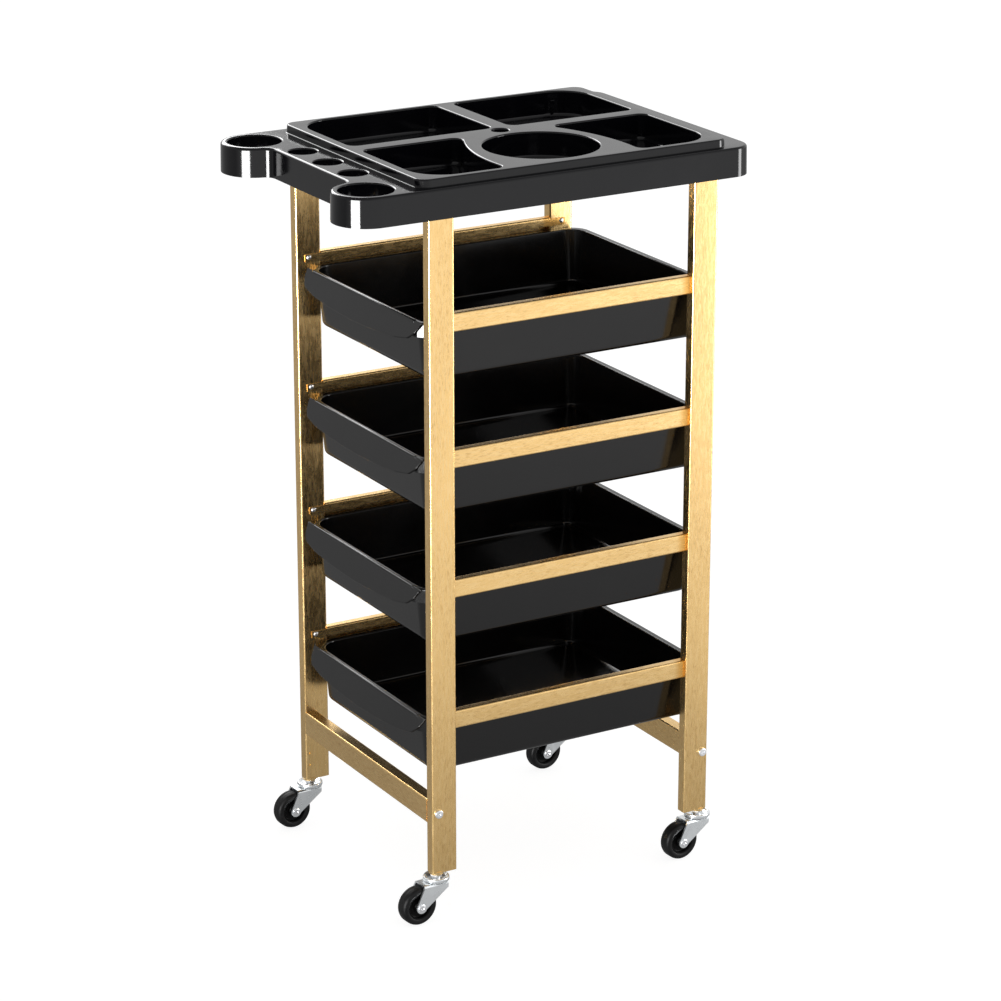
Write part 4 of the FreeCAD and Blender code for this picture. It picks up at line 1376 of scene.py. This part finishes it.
@dataclass
class Studio:
    """Pale floor, white surroundings, soft lights and the camera."""

    azimuth: float = 59.66
    elevation: float = 18.89
    distance: float = 4.0248
    aim: Triple = (-0.0005, 0.0251, 0.4200)
    lens: float = 126.36
    wall_light: Pair = (0.52, 0.88)
    wall_span: Pair = (-0.6, 0.3)
    ceiling_light: float = 0.35
    ceiling_span: Pair = (0.4, 0.9)
    floor_glow: float = 0.88
    floor_light: Pair = (0.40, 1.05)
    floor_span: Pair = (-0.3, 1.6)
    shade: Pair = (0.65, 1.0)
    shade_span: Pair = (0.1, 1.0)

    def direction(self, azimuth: float, elevation: float) -> Vector:
        """The way from the trolley towards a bearing; azimuth 0 is the front."""
        across, up = math.radians(azimuth), math.radians(elevation)
        return Vector((math.sin(across) * math.cos(up), -math.cos(across) * math.cos(up), math.sin(up)))

    def build_camera(self) -> None:
        """Sets the camera on the trolley's front right."""
        data = bpy.data.cameras.new("camera")
        data.sensor_width = 36.0
        data.lens = self.lens
        data.clip_start, data.clip_end = 0.05, 60.0
        camera = bpy.data.objects.new("camera", data)
        bpy.context.scene.collection.objects.link(camera)
        back = self.direction(self.azimuth, self.elevation)
        camera.location = Vector(self.aim) + back * self.distance
        camera.rotation_mode = "QUATERNION"
        camera.rotation_quaternion = (-back).to_track_quat("-Z", "Y")
        bpy.context.scene.camera = camera

    def area_light(self, name: str, azimuth: float, elevation: float, distance: float,
                   size: Pair, brightness: float, height: float = 0.45) -> None:
        """Adds a soft box that faces the trolley and shows in its reflections.

        Args:
            name: the light's name.
            azimuth: its bearing.
            elevation: its angle above the horizon.
            distance: from the point that it faces.
            size: width and height.
            brightness: of its face, as radiance.
            height: of the point that it faces.
        """
        data = bpy.data.lights.new(name, "AREA")
        data.shape = "RECTANGLE"
        data.size, data.size_y = size
        data.energy = brightness * math.pi * size[0] * size[1]
        item = bpy.data.objects.new(name, data)
        bpy.context.scene.collection.objects.link(item)
        way = self.direction(azimuth, elevation)
        item.location = Vector((0, 0, height)) + way * distance
        item.rotation_mode = "QUATERNION"
        item.rotation_quaternion = (-way).to_track_quat("-Z", "Y")
        item.visible_camera = False
        item.visible_diffuse = False

    def build_world(self) -> None:
        """White surroundings for the camera, greyer ones with a dim ceiling for reflections."""
        world = bpy.data.worlds.new("surroundings")
        bpy.context.scene.world = world
        world.use_nodes = True
        nodes = Nodes(world.node_tree)
        shade = world.node_tree.nodes["Background"]
        way = nodes.add("TexCoord").outputs["Generated"]
        walls = nodes.spread(nodes.axis(way, "Y"), self.wall_span, self.wall_light)
        all_round = nodes.spread(nodes.axis(way, "Z"), self.ceiling_span, (walls, self.ceiling_light))
        strength = nodes.math("MAXIMUM", all_round, nodes.add("LightPath").outputs["Is Camera Ray"])
        nodes.link(strength, shade.inputs["Strength"])
        shade.inputs["Color"].default_value = (1.0, 1.0, 1.0, 1.0)

    def build_floor(self) -> None:
        """A wide white floor, level with the wheels; it throws more light on the right side, and less close
        to the trolley as a painted shadow of the trolley.
        """
        mesh = bmesh.new()
        bmesh.ops.create_grid(mesh, x_segments=8, y_segments=8, size=14000)
        floor = finish_mesh(mesh, "floor")
        material, nodes, shader, place = start_material("pale_floor")
        cloud = nodes.noise(place, 0.6, 2.0)
        colour = nodes.mix(cloud, (0.33, 0.33, 0.33, 1.0), (0.36, 0.36, 0.36, 1.0))
        nodes.feed(shader, Base_Color=colour, Roughness=0.9, Specular_IOR_Level=0.0)
        glow = nodes.feed(nodes.add("Emission"), Strength=self.floor_glow)
        both = nodes.add("AddShader")
        nodes.link(shader.outputs["BSDF"], both.inputs[0])
        nodes.link(glow.outputs["Emission"], both.inputs[1])
        far = nodes.add("VectorMath", operation="LENGTH")
        nodes.link(place, far.inputs[0])
        across = nodes.spread(nodes.axis(place, "X"), self.floor_span, self.floor_light)
        # painted shadow: the floor's glow for reflections and bounce fades close to the trolley
        nearby = nodes.spread(far.outputs["Value"], self.shade_span, self.shade)
        thrown = nodes.math("MULTIPLY", across, nearby)
        bounce = nodes.feed(nodes.add("Emission"), Strength=thrown)
        pick = nodes.add("MixShader")
        nodes.link(nodes.add("LightPath").outputs["Is Camera Ray"], pick.inputs[0])
        nodes.link(bounce.outputs["Emission"], pick.inputs[1])
        nodes.link(both.outputs["Shader"], pick.inputs[2])
        output = material.node_tree.nodes["Material Output"]
        nodes.link(pick.outputs["Shader"], output.inputs["Surface"])
        floor.data.materials.append(material)

    def build(self) -> None:
        """Sets the whole stage."""
        self.build_camera()
        self.build_world()
        self.build_floor()
        self.area_light("front_strip", 28.0, 0.0, 2.2, (1.0, 0.6), 40.0, 0.22)
        self.area_light("rear_strip", 144.0, 0.0, 1.9, (0.5, 1.3), 11.0, 0.62)
        self.area_light("left_box", -92.0, 34.0, 2.6, (1.6, 1.2), 7.0)
        scene = bpy.context.scene
        scene.view_settings.view_transform = "Standard"


# --- assembly ----------------------------------------------------------------------------------


def main() -> None:
    """Builds every sub-assembly in order."""
    logging.basicConfig(level=logging.INFO, format="%(message)s")
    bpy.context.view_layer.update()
    finishes = Finishes()
    Studio().build()
    tube_frame = TubeFrame(finishes)
    tube_frame.build()
    TopTray(finishes).build()
    for level, top in enumerate(tube_frame.rail_tops, start=1):
        Drawer(finishes, level, top, 4.5 if level == 3 else 0.0).build()
    for corner, (side, end) in CORNERS.items():
        Caster(finishes, corner, side, end).build()
    LOG.info("all pieces in place")


if __name__ == "__main__":
    main()
